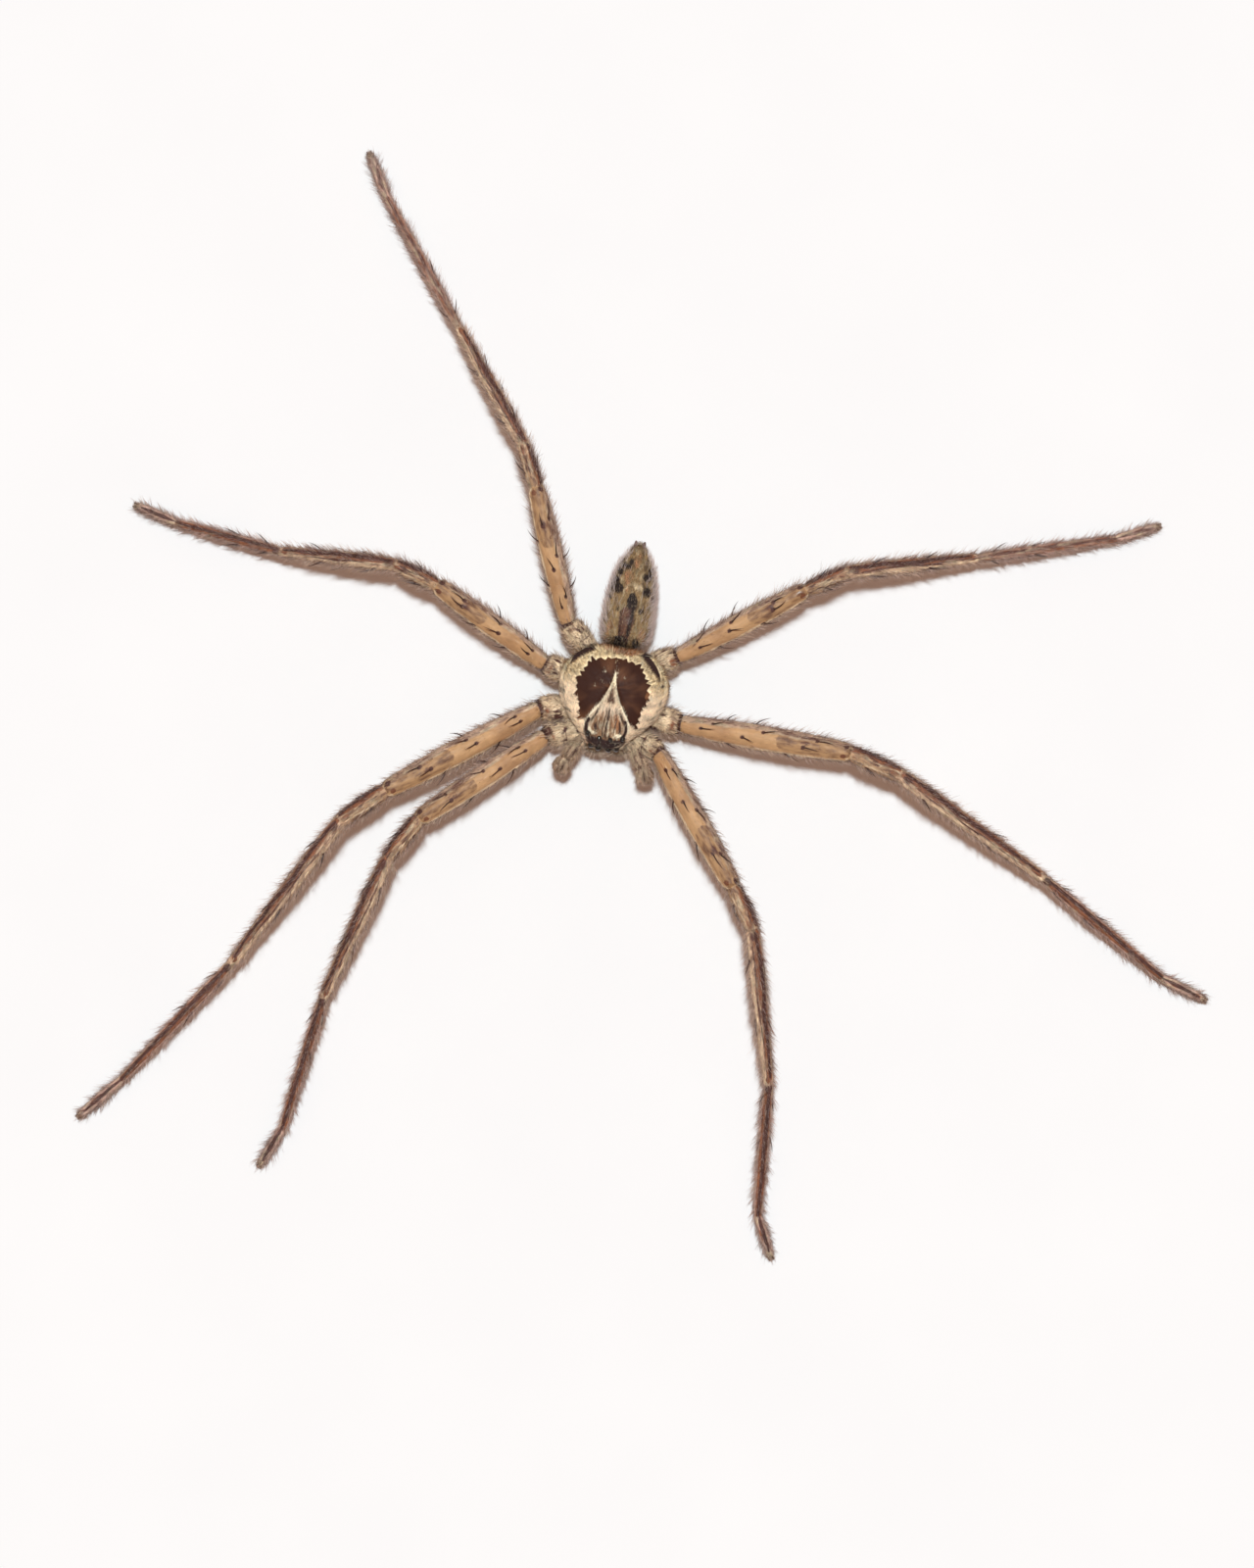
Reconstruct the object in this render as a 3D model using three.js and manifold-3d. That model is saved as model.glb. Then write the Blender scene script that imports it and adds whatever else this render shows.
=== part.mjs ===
// A huntsman spider at life size, flat on the floor with its legs spread, as a still museum model.
// The spider is built in its own frame: head towards -Y, its left side towards +X, the floor at Z 0.
// Everything is in millimetres and degrees.
import * as THREE from 'three';
import { mergeVertices } from 'three/addons/utils/BufferGeometryUtils.js';
import Module from 'manifold-3d';

const wasm = await Module();
wasm.setup();

// Clearances, and how far the whole animal, its carapace and its abdomen are turned from a straight line.
const GAP = 0.3;
const EYE_GAP = 0.1;
const POSE_TURN = -6.8;
const CARAPACE_TURN = -2.8;
const ABDOMEN_TURN = -2.5;

// The carapace from its front edge to its hind one: place along Y, half width and height of the back.
const CARAPACE = [
  { y: -4.15, half: 1.25, top: 4.95 },
  { y: -3.75, half: 1.55, top: 5.3 },
  { y: -3.1, half: 1.95, top: 5.6 },
  { y: -2.2, half: 2.8, top: 5.85 },
  { y: -1.2, half: 3.6, top: 6.0 },
  { y: 0, half: 4.1, top: 6.1 },
  { y: 1.2, half: 4.2, top: 6.15 },
  { y: 2.3, half: 3.85, top: 5.95 },
  { y: 3.2, half: 3.15, top: 5.5 },
  { y: 3.68, half: 2.4, top: 5.05 },
  { y: 3.92, half: 1.35, top: 4.65 },
];
const CARAPACE_RIM = 4.25;
const CARAPACE_UNDERSIDE = 0.22;
const CARAPACE_SIDES = 22;

// The core under the carapace, with the sternum as its lower face: half width and half length.
const CORE = { y: -0.05, half: 1.5, halfLength: 3.2, bottom: 1.9, shoulder: 2.2, top: 4.45 };
const CORE_SIDES = 16;
const STERNUM_SCALE = 0.8;

// The abdomen from front to tip: share of the length, half width and half height.
const ABDOMEN = [
  { t: 0, half: 1.2, rise: 0.95 },
  { t: 0.05, half: 1.72, rise: 1.4 },
  { t: 0.13, half: 2.0, rise: 1.78 },
  { t: 0.28, half: 2.09, rise: 1.95 },
  { t: 0.43, half: 2.04, rise: 1.93 },
  { t: 0.58, half: 1.93, rise: 1.78 },
  { t: 0.7, half: 1.74, rise: 1.55 },
  { t: 0.8, half: 1.5, rise: 1.25 },
  { t: 0.89, half: 1.13, rise: 0.92 },
  { t: 0.95, half: 0.82, rise: 0.68 },
  { t: 1, half: 0.52, rise: 0.42 },
];
const ABDOMEN_FRONT = new THREE.Vector3(0.44, 4.25, 3.75);
const ABDOMEN_LENGTH = 7.83;
const ABDOMEN_SIDES = 18;
const PEDICEL = { radius: 0.4, from: [0, 3.45, 3.45], to: [0.5, 5.4, 3.6], sides: 10 };
const SPINNERETS = [
  { x: 0.3, z: 0.12, length: 0.95 },
  { x: -0.3, z: 0.12, length: 0.95 },
  { x: 0.24, z: -0.28, length: 0.7 },
  { x: -0.24, z: -0.28, length: 0.7 },
];
const SPINNERET_RADII = [0.26, 0.22, 0.13];
const SPINNERET_SIDES = 6;
const SPINNERET_SUNK = 0.5;
const SPINNERET_SPREAD = { root: 0.7, tip: 1.2 };

// Eyes in two rows of four. The hind row sits on the carapace, so it needs no height.
const EYE_SIDES = 8;
const EYE_ROWS = 6;
const EYES = [
  { name: 'front_median', x: 0.42, y: -4.1, z: 4.62, radius: 0.25 },
  { name: 'front_lateral', x: 1.02, y: -3.92, z: 4.6, radius: 0.3 },
  { name: 'rear_median', x: 0.44, y: -3.3, radius: 0.23 },
  { name: 'rear_lateral', x: 1.38, y: -3.05, radius: 0.28 },
];

// Each jaw hangs from below the front edge and carries a fang folded across its tip.
const CHELICERA = [
  { z: 3.73, y: -3.92, half: 0.62, depth: 0.36 },
  { z: 3.5, y: -3.95, half: 0.76, depth: 0.42 },
  { z: 3.0, y: -3.95, half: 0.8, depth: 0.42 },
  { z: 2.3, y: -3.92, half: 0.78, depth: 0.42 },
  { z: 1.7, y: -3.87, half: 0.62, depth: 0.38 },
  { z: 1.4, y: -3.82, half: 0.42, depth: 0.32 },
];
const CHELICERA_X = 0.93;
const CHELICERA_SIDES = 10;
const CHELICERA_HINGE = [CHELICERA_X, -3.92, 3.7];
const FANG = { points: [[0.1, -3.9, 1.75], [0.02, -4.0, 1.3], [-0.25, -3.85, 1.05], [-0.55, -3.6, 1.1]] };
const FANG_RADII = [0.27, 0.24, 0.16, 0];
const FANG_SIDES = 8;

// A palp on its own side, X outwards, and the swollen last piece that the male carries.
const PALP = [[1.5, -3.1, 2.85], [2.25, -3.9, 3.45], [2.75, -4.7, 3.8], [3.0, -5.15, 3.8]];
const PALP_RADII = [0.42, 0.5, 0.54, 0.57, 0.6, 0.56];
const CYMBIUM = [[3.0, -5.15, 3.8], [3.2, -5.55, 3.72], [3.38, -5.95, 3.52], [3.48, -6.2, 3.3]];
const CYMBIUM_RADII = [0.56, 0.66, 0.7, 0.62, 0.4];
const PALP_SIDES = 10;

// Leg pieces from the body out: radii at even steps for a leg of build 1, and the upward bow.
const SEGMENTS = {
  coxa: { radii: [0.62, 0.7, 0.84, 1.0, 1.06, 0.9], bow: 0, colour: 0xb79a72 },
  femur: { radii: [0.74, 0.92, 1.0, 1.01, 0.94, 0.78], bow: 0.25, colour: 0xa97b4a },
  patella: { radii: [0.68, 0.75, 0.73, 0.66], bow: 0.05, colour: 0x8b7053 },
  tibia: { radii: [0.62, 0.7, 0.66, 0.58, 0.5], bow: 0.1, colour: 0x8d745a },
  metatarsus: { radii: [0.43, 0.5, 0.48, 0.44, 0.39], bow: 0.1, colour: 0x7f6a58 },
  tarsus: { radii: [0.37, 0.43, 0.42, 0.34], bow: 0, colour: 0x75604f },
};
const SEGMENT_NAMES = Object.keys(SEGMENTS);
const LEG_SIDES = 10;

// Leg pairs, front to hind: build, how much further their spines stand up, where the coxa starts, and
// the height of every joint out to the tip.
const PAIRS = {
  1: { build: 0.98, spineRise: 0, hip: [0.75, -2.15], heights: [2.95, 3.3, 5.0, 4.8, 2.7, 0.75, 0.4] },
  2: { build: 1.03, spineRise: 0, hip: [0.9, -0.75], heights: [2.95, 3.3, 5.1, 4.9, 2.8, 0.75, 0.4] },
  3: { build: 0.94, spineRise: 3, hip: [0.9, 0.8], heights: [2.95, 3.3, 4.8, 4.6, 2.5, 0.75, 0.4] },
  4: { build: 0.93, spineRise: 6, hip: [0.7, 2.1], heights: [2.95, 3.3, 4.7, 4.5, 2.5, 0.75, 0.4] },
};

// Each leg in plan: where its femur starts, then the run and the bearing of every piece from there.
const LEGS = [
  { pair: 1, side: 'right', root: [-4.81, -3.61], runs: [11.9, 3.9, 12.3, 11.0, 3.5],
    bearings: [-140, -121.5, -108.5, -101, -115.5] },
  { pair: 1, side: 'left', root: [4.12, -3.86], runs: [12.1, 3.6, 12.5, 10.6, 3.5],
    bearings: [-54, -58.5, -77, -87.5, -65.5] },
  { pair: 2, side: 'right', root: [-5.57, -1.5], runs: [13.7, 4.2, 14.4, 12.9, 4.5],
    bearings: [-145, -139.5, -121, -127, -133] },
  { pair: 2, side: 'left', root: [5.61, -1.4], runs: [13.6, 4.2, 14.1, 12.5, 3.9],
    bearings: [-3, -17.5, -28.5, -33, -20] },
  { pair: 3, side: 'right', root: [-5.55, 2.05], runs: [10.5, 3.6, 9.3, 8.8, 3.5],
    bearings: [151, 160.5, 179.5, 171, 163.5] },
  { pair: 4, side: 'right', root: [-4.12, 5.43], runs: [11.0, 3.5, 10.7, 12.0, 3.8],
    bearings: [110, 114, 125.5, 125.5, 118.5] },
  { pair: 4, side: 'left', root: [4.74, 3.83], runs: [11.4, 3.5, 10.5, 11.3, 3.6],
    bearings: [34, 30.5, 13.5, 15, 23.5] },
];

// The left third leg is lost at its first joint, so only its coxa stands there.
const LOST_LEG = { pair: 3, side: 'left', root: [4.45, 1.4] };

// The two lobes of hair under each foot's claws, with their flat soles on the floor.
const TUFT = { length: 0.42, half: 0.24, rise: 0.3, spread: 0.17, height: 0.24, back: 0.1 };
const TUFT_SIDES = 6;
const TUFT_ROWS = 4;

// Spines: rows on each piece of a leg, by the angle round it from its side, how far they stand up from
// it and the places along it. They stand up on the femora and lie almost flat further out.
const SPINE_ROWS = {
  femur: [
    { around: 68, lift: 28, along: [0.2, 0.46, 0.72] },
    { around: 112, lift: 28, along: [0.22, 0.49, 0.75] },
    { around: 15, lift: 24, along: [0.6] },
    { around: 165, lift: 24, along: [0.4] },
  ],
  patella: [
    { around: 25, lift: 11, along: [0.35] },
    { around: 155, lift: 11, along: [0.35] },
  ],
  tibia: [
    { around: 25, lift: 12, along: [0.18, 0.6] },
    { around: 155, lift: 12, along: [0.18, 0.6] },
    { around: -25, lift: 12, along: [0.4] },
    { around: 205, lift: 12, along: [0.4] },
  ],
  metatarsus: [
    { around: 10, lift: 12, along: [0.1, 0.4] },
    { around: 170, lift: 12, along: [0.1, 0.4] },
  ],
};
const SPINE = { length: 1.9, radius: 0.25, sunk: 0.35, sides: 4 };
const SPINE_SPREAD = { length: 0.3, lift: 4, along: 0.02 };
const SPINE_TURN_STEP = 10;
const SPINE_TURN_MOST = 90;
const CLEAR_STEPS = [0.25, 0.5, 0.75, 1];
const SEED = 7;

const COLOURS = {
  carapace: 0x9a7a52,
  abdomen: 0x8a7a5a,
  eye: 0x0c0908,
  chelicera: 0x6b4a35,
  palp: 0xb39468,
};
const UP = new THREE.Vector3(0, 0, 1);
const STRAIGHT_UP = 90;
const WELD = 1e-4;
const SKIN_FINISH = { roughness: 0.7, metalness: 0 };
const LENS_FINISH = { roughness: 0.15, metalness: 0 };

// A small seeded generator, so that the spines vary and are the same in every build.
function seededRandom(seed) {
  let state = seed;
  return () => {
    state = (state * 1664525 + 1013904223) % 4294967296;
    return state / 4294967296;
  };
}
const random = seededRandom(SEED);
const vary = (spread) => (random() * 2 - 1) * spread;

const radians = THREE.MathUtils.degToRad;
const vector = (point) => new THREE.Vector3(...point);
const mirrored = ([x, y, z], sign) => new THREE.Vector3(sign * x, y, z);

// Turns a cylinder or cone into another closed form: place takes where a vertex was on the unit
// circle and how far along, from 0 to 1, and returns where it goes.
function reshape(geometry, place) {
  const position = geometry.attributes.position;
  for (let i = 0; i < position.count; i += 1) {
    const radius = Math.hypot(position.getX(i), position.getZ(i));
    const across = radius > 0 ? position.getX(i) / radius : 0;
    const rise = radius > 0 ? position.getZ(i) / radius : 0;
    const point = place(across, rise, position.getY(i) + 0.5);
    position.setXYZ(i, point.x, point.y, point.z);
  }
  return geometry;
}

// A unit cylinder or cone with one ring for every section, ready to be reshaped.
function rings(count, sides, pointed = false) {
  return pointed
    ? new THREE.ConeGeometry(1, 1, sides, count - 1)
    : new THREE.CylinderGeometry(1, 1, 1, sides, count - 1);
}

// A closed geometry as a solid that can be joined and cut.
function solidOf(geometry) {
  const bare = geometry.clone();
  bare.deleteAttribute('normal');
  bare.deleteAttribute('uv');
  const merged = mergeVertices(bare, WELD);
  return new wasm.Manifold(
    new wasm.Mesh({
      numProp: 3,
      vertProperties: merged.attributes.position.array,
      triVerts: Uint32Array.from(merged.index.array),
    }),
  );
}

// The largest closed surface of a solid, as a geometry.
function geometryOf(solid) {
  const largest = solid.decompose().reduce((a, b) => (b.volume() > a.volume() ? b : a));
  const mesh = largest.getMesh();
  const geometry = new THREE.BufferGeometry();
  geometry.setAttribute('position', new THREE.BufferAttribute(mesh.vertProperties, 3));
  geometry.setIndex(new THREE.BufferAttribute(mesh.triVerts, 1));
  return geometry;
}

// A named mesh with its own origin at the joint it grows from.
function node(name, solid, origin, colour, finish = SKIN_FINISH) {
  const geometry = geometryOf(solid).translate(-origin.x, -origin.y, -origin.z);
  geometry.computeVertexNormals();
  const mesh = new THREE.Mesh(geometry, new THREE.MeshStandardMaterial({ color: colour, ...finish }));
  mesh.name = name;
  mesh.position.copy(origin);
  return mesh;
}

// Side and up directions for a line that runs along, with up as near to the vertical as it can be.
function frameFor(along) {
  const up = UP.clone().addScaledVector(along, -along.dot(UP)).normalize();
  return { along, up, side: new THREE.Vector3().crossVectors(along, up) };
}

// A round body swept along a curve through points, with a radius at each even step.
function sweep(points, radii, sides, grow = 0) {
  const curve = new THREE.CatmullRomCurve3(points);
  const pointed = radii[radii.length - 1] === 0;
  const last = radii.length - 1;
  return reshape(rings(radii.length, sides, pointed), (across, rise, t) => {
    const frame = frameFor(curve.getTangent(t));
    const radius = radii[Math.round(t * last)] + grow;
    return curve.getPoint(t)
      .addScaledVector(frame.side, across * radius)
      .addScaledVector(frame.up, rise * radius);
  });
}

// How far a point has to travel along a direction to reach a plane.
function travel(point, plane, along) {
  return -plane.distanceToPoint(point) / plane.normal.dot(along);
}

// A plane across a joint, moved along its normal by an offset.
function jointPlane(normal, joint, offset) {
  const point = joint.clone().addScaledVector(normal, offset);
  return new THREE.Plane().setFromNormalAndCoplanarPoint(normal, point);
}

// One straight piece of a leg, cut at each end on the plane that halves the bend at that joint.
function limb({ from, to, cutFrom, cutTo, radii, bow }) {
  const frame = frameFor(to.clone().sub(from).normalize());
  const start = jointPlane(cutFrom, from, GAP / 2);
  const end = jointPlane(cutTo, to, -GAP / 2);
  const last = radii.length - 1;
  return reshape(rings(radii.length, LEG_SIDES), (across, rise, t) => {
    const radius = radii[Math.round(t * last)];
    const base = from.clone()
      .addScaledVector(frame.side, across * radius)
      .addScaledVector(frame.up, rise * radius + bow * Math.sin(Math.PI * t));
    const reach = THREE.MathUtils.lerp(travel(base, start, frame.along), travel(base, end, frame.along), t);
    return base.addScaledVector(frame.along, reach);
  });
}

// The carapace: a low dome over a thin flat underside.
function carapace(grow = 0) {
  const last = CARAPACE.length - 1;
  return reshape(rings(CARAPACE.length, CARAPACE_SIDES), (across, rise, t) => {
    const station = CARAPACE[Math.round(t * last)];
    const end = t === 0 ? -grow : t === 1 ? grow : 0;
    const depth = rise > 0 ? station.top - CARAPACE_RIM + grow : CARAPACE_UNDERSIDE + grow;
    return new THREE.Vector3(across * (station.half + grow), station.y + end, CARAPACE_RIM + rise * depth);
  });
}

// The core of the front body, an upright column with the sternum at its foot.
function core(grow = 0) {
  const levels = [
    { z: CORE.bottom - grow, scale: STERNUM_SCALE },
    { z: CORE.shoulder - grow, scale: 1 },
    { z: CORE.top, scale: 1 },
  ];
  const last = levels.length - 1;
  return reshape(rings(levels.length, CORE_SIDES), (across, rise, t) => {
    const level = levels[Math.round(t * last)];
    const x = across * (CORE.half * level.scale + grow);
    const y = CORE.y - rise * (CORE.halfLength * level.scale + grow);
    return new THREE.Vector3(x, y, level.z);
  });
}

function cephalothorax(grow = 0) {
  return solidOf(carapace(grow)).rotate([0, 0, CARAPACE_TURN]).add(solidOf(core(grow)));
}

// Height of the carapace's back over a point in plan, before it is turned.
function carapaceHeight(x, y) {
  const next = CARAPACE.findIndex((station) => station.y >= y);
  const a = CARAPACE[next - 1];
  const b = CARAPACE[next];
  const t = (y - a.y) / (b.y - a.y);
  const half = THREE.MathUtils.lerp(a.half, b.half, t);
  const top = THREE.MathUtils.lerp(a.top, b.top, t);
  return CARAPACE_RIM + (top - CARAPACE_RIM) * Math.sqrt(1 - (x / half) ** 2);
}

function eyeBall(eye, sign, grow = 0) {
  const z = eye.z ?? carapaceHeight(eye.x, eye.y);
  return new THREE.SphereGeometry(eye.radius + grow, EYE_SIDES, EYE_ROWS)
    .translate(sign * eye.x, eye.y, z)
    .rotateZ(radians(CARAPACE_TURN));
}

function chelicera(sign, grow = 0) {
  const last = CHELICERA.length - 1;
  const jaw = reshape(rings(CHELICERA.length, CHELICERA_SIDES), (across, rise, t) => {
    const level = CHELICERA[last - Math.round(t * last)];
    const x = sign * CHELICERA_X + across * (level.half + grow);
    return new THREE.Vector3(x, level.y - rise * (level.depth + grow), level.z);
  });
  return solidOf(jaw);
}

function fang(sign) {
  const points = FANG.points.map(([x, y, z]) => new THREE.Vector3(sign * (CHELICERA_X + x), y, z));
  return solidOf(sweep(points, FANG_RADII, FANG_SIDES));
}

function palp(points, radii, sign, grow = 0) {
  return solidOf(sweep(points.map((point) => mirrored(point, sign)), radii, PALP_SIDES, grow));
}

// The abdomen, turned about its front end, with the spinnerets at its tip and the narrow waist.
function abdomen() {
  const last = ABDOMEN.length - 1;
  const sac = reshape(rings(ABDOMEN.length, ABDOMEN_SIDES), (across, rise, t) => {
    const station = ABDOMEN[Math.round(t * last)];
    return new THREE.Vector3(across * station.half, station.t * ABDOMEN_LENGTH, rise * station.rise);
  });
  let solid = solidOf(sac);
  for (const { x, z, length } of SPINNERETS) {
    const points = [
      new THREE.Vector3(x * SPINNERET_SPREAD.root, ABDOMEN_LENGTH - SPINNERET_SUNK, z),
      new THREE.Vector3(x, ABDOMEN_LENGTH, z),
      new THREE.Vector3(x * SPINNERET_SPREAD.tip, ABDOMEN_LENGTH - SPINNERET_SUNK + length, z),
    ];
    solid = solid.add(solidOf(sweep(points, SPINNERET_RADII, SPINNERET_SIDES)));
  }
  const { radius, from, to, sides } = PEDICEL;
  const waist = sweep([vector(from), vector(to)], [radius, radius], sides);
  return solid.rotate([0, 0, ABDOMEN_TURN])
    .translate(ABDOMEN_FRONT.toArray())
    .add(solidOf(waist));
}

// The joints of a leg in the spider's frame, from the hip to the tip.
function legJoints({ pair, side, root, runs = [], bearings = [] }) {
  const { hip, heights } = PAIRS[pair];
  const sign = side === 'left' ? 1 : -1;
  const joints = [new THREE.Vector3(sign * hip[0], hip[1], heights[0]), vector([...root, heights[1]])];
  runs.forEach((run, i) => {
    const angle = radians(bearings[i]);
    const last = joints[joints.length - 1];
    joints.push(new THREE.Vector3(
      last.x + run * Math.cos(angle),
      last.y + run * Math.sin(angle),
      heights[i + 2],
    ));
  });
  return joints;
}

// The pieces of one leg as plain descriptions: ends, cut planes, radii and bow.
function legPieces(leg) {
  const joints = legJoints(leg);
  const ways = joints.slice(1).map((joint, i) => joint.clone().sub(joints[i]).normalize());
  const { build, spineRise } = PAIRS[leg.pair];
  return ways.map((way, i) => {
    const segment = SEGMENTS[SEGMENT_NAMES[i]];
    return {
      name: `leg${leg.pair}_${leg.side}_${SEGMENT_NAMES[i]}`,
      kind: SEGMENT_NAMES[i],
      from: joints[i],
      to: joints[i + 1],
      cutFrom: i === 0 ? way : way.clone().add(ways[i - 1]).normalize(),
      cutTo: i === ways.length - 1 ? way : way.clone().add(ways[i + 1]).normalize(),
      radii: segment.radii.map((radius) => radius * build),
      bow: segment.bow,
      spineRise,
      colour: segment.colour,
    };
  });
}

// Whether a line keeps clear of every obstacle that another node owns.
function isClear(from, to, radius, owner, obstacles) {
  const nearest = new THREE.Vector3();
  return obstacles.every((obstacle) => {
    if (obstacle.owner === owner) {
      return true;
    }
    return CLEAR_STEPS.every((step) => {
      const point = from.clone().lerp(to, step);
      obstacle.line.closestPointToPoint(point, true, nearest);
      return point.distanceTo(nearest) >= obstacle.radius + radius * (1 - step) + GAP;
    });
  });
}

// One tapered spine with its root sunk in the leg.
function spine(root, way, length) {
  const foot = root.clone().addScaledVector(way, -SPINE.sunk);
  return sweep([foot, root.clone().addScaledVector(way, length)], [SPINE.radius, 0], SPINE.sides);
}

// All the spines of one piece. One that would meet another node is turned upwards until it is clear.
function spinesOf(piece, obstacles) {
  const frame = frameFor(piece.to.clone().sub(piece.from).normalize());
  const length = piece.from.distanceTo(piece.to);
  const found = [];
  for (const { around, lift, along } of SPINE_ROWS[piece.kind] ?? []) {
    const towardsTop = around > STRAIGHT_UP ? -1 : 1;
    for (const place of along) {
      const t = place + vary(SPINE_SPREAD.along);
      const reach = SPINE.length + vary(SPINE_SPREAD.length);
      const rise = radians(lift + piece.spineRise + vary(SPINE_SPREAD.lift));
      const step = t * (piece.radii.length - 1);
      const ring = Math.floor(step);
      const radius = THREE.MathUtils.lerp(piece.radii[ring], piece.radii[ring + 1], step - ring);
      for (let turn = 0; turn <= SPINE_TURN_MOST; turn += SPINE_TURN_STEP) {
        const angle = radians(around + towardsTop * turn);
        const out = frame.side.clone()
          .multiplyScalar(Math.cos(angle))
          .addScaledVector(frame.up, Math.sin(angle));
        const root = piece.from.clone()
          .addScaledVector(frame.along, t * length)
          .addScaledVector(frame.up, piece.bow * Math.sin(Math.PI * t))
          .addScaledVector(out, radius);
        const way = frame.along.clone().multiplyScalar(Math.cos(rise)).addScaledVector(out, Math.sin(rise));
        const tip = root.clone().addScaledVector(way, reach);
        if (isClear(root, tip, SPINE.radius, piece.name, obstacles)) {
          found.push(solidOf(spine(root, way, reach)));
          obstacles.push({ owner: piece.name, line: new THREE.Line3(root, tip), radius: SPINE.radius / 2 });
          break;
        }
      }
    }
  }
  return found;
}

// The two lobes of a foot's claw tuft, side by side at the tip.
function tufts(piece) {
  const frame = frameFor(piece.to.clone().sub(piece.from).setZ(0).normalize());
  return [-1, 1].map((sign) => {
    const lobe = new THREE.SphereGeometry(1, TUFT_SIDES, TUFT_ROWS).applyMatrix4(
      new THREE.Matrix4().makeBasis(
        frame.side.clone().multiplyScalar(TUFT.half),
        frame.along.clone().multiplyScalar(TUFT.length),
        frame.up.clone().multiplyScalar(TUFT.rise),
      ),
    );
    const centre = piece.to.clone()
      .addScaledVector(frame.along, -TUFT.back)
      .addScaledVector(frame.side, sign * TUFT.spread)
      .setZ(TUFT.height);
    return solidOf(lobe.translate(centre.x, centre.y, centre.z));
  });
}

// A piece of a leg as one closed body, with its spines, or its claw tuft on a flat sole.
function legSolid(piece, obstacles, hip) {
  let solid = solidOf(limb(piece));
  for (const spike of spinesOf(piece, obstacles)) {
    solid = solid.add(spike);
  }
  if (piece.kind === 'coxa') {
    solid = solid.subtract(hip);
  }
  if (piece.kind === 'tarsus') {
    for (const lobe of tufts(piece)) {
      solid = solid.add(lobe);
    }
    solid = solid.trimByPlane([0, 0, 1], 0);
  }
  return solid;
}

function buildLegs(hip) {
  const legs = [...LEGS, LOST_LEG].map(legPieces);
  const obstacles = legs.flat().map((piece) => ({
    owner: piece.name,
    line: new THREE.Line3(piece.from, piece.to),
    radius: Math.max(...piece.radii),
  }));
  return legs.map((pieces) => {
    const group = new THREE.Group();
    for (const piece of pieces) {
      group.add(node(piece.name, legSolid(piece, obstacles, hip), piece.from, piece.colour));
    }
    return group;
  });
}

function buildHead() {
  const group = new THREE.Group();
  let body = cephalothorax();
  for (const [side, sign] of [['left', 1], ['right', -1]]) {
    for (const eye of EYES) {
      body = body.subtract(solidOf(eyeBall(eye, sign, EYE_GAP)));
      const ball = eyeBall(eye, sign);
      ball.computeBoundingSphere();
      const { center } = ball.boundingSphere;
      group.add(node(`eye_${eye.name}_${side}`, solidOf(ball), center, COLOURS.eye, LENS_FINISH));
    }
  }
  group.add(node('cephalothorax', body, vector([0, 0, CARAPACE_RIM]), COLOURS.carapace));
  return group;
}

function buildMouthparts(hip) {
  const group = new THREE.Group();
  const frontHips = LEGS.filter((leg) => leg.pair === 1).map((leg) => {
    const piece = legPieces(leg)[0];
    return solidOf(limb({ ...piece, radii: piece.radii.map((radius) => radius + GAP) }));
  });
  for (const [side, sign] of [['left', 1], ['right', -1]]) {
    const jaw = chelicera(sign).subtract(hip).add(fang(sign));
    group.add(node(`chelicera_${side}`, jaw, mirrored(CHELICERA_HINGE, sign), COLOURS.chelicera));
    let arm = palp(PALP, PALP_RADII, sign).subtract(hip).subtract(chelicera(sign, GAP));
    for (const coxa of frontHips) {
      arm = arm.subtract(coxa);
    }
    group.add(node(`pedipalp_${side}`, arm, mirrored(PALP[0], sign), COLOURS.palp));
    const tip = palp(CYMBIUM, CYMBIUM_RADII, sign).subtract(palp(PALP, PALP_RADII, sign, GAP));
    group.add(node(`cymbium_${side}`, tip, mirrored(CYMBIUM[0], sign), COLOURS.palp));
  }
  return group;
}

const hip = cephalothorax(GAP);
const spider = new THREE.Group();
spider.add(buildHead());
spider.add(buildMouthparts(hip));
spider.add(node('abdomen', abdomen().subtract(hip), ABDOMEN_FRONT, COLOURS.abdomen));
for (const leg of buildLegs(hip)) {
  spider.add(leg);
}

// The photograph's pose, with the origin at the bottom centre of the whole animal.
spider.rotation.z = radians(POSE_TURN);
spider.updateMatrixWorld(true);
const box = new THREE.Box3().setFromObject(spider, true);
const centre = box.getCenter(new THREE.Vector3());
spider.position.set(-centre.x, -centre.y, -box.min.z);
spider.updateMatrixWorld(true);

export default spider;
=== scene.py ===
"""A huntsman spider at life size, flat on the floor with its legs spread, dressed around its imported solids.

Shapes are worked out in millimetres in the spider's own frame: head towards -Y, its left side towards +X,
the floor at Z 0. They are turned and scaled to the frame's metres as each mesh is made.
"""

import logging
import math
from dataclasses import dataclass, field, replace
from enum import Enum

import bmesh
import bpy
import numpy as np
from mathutils import Matrix, Vector


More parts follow.
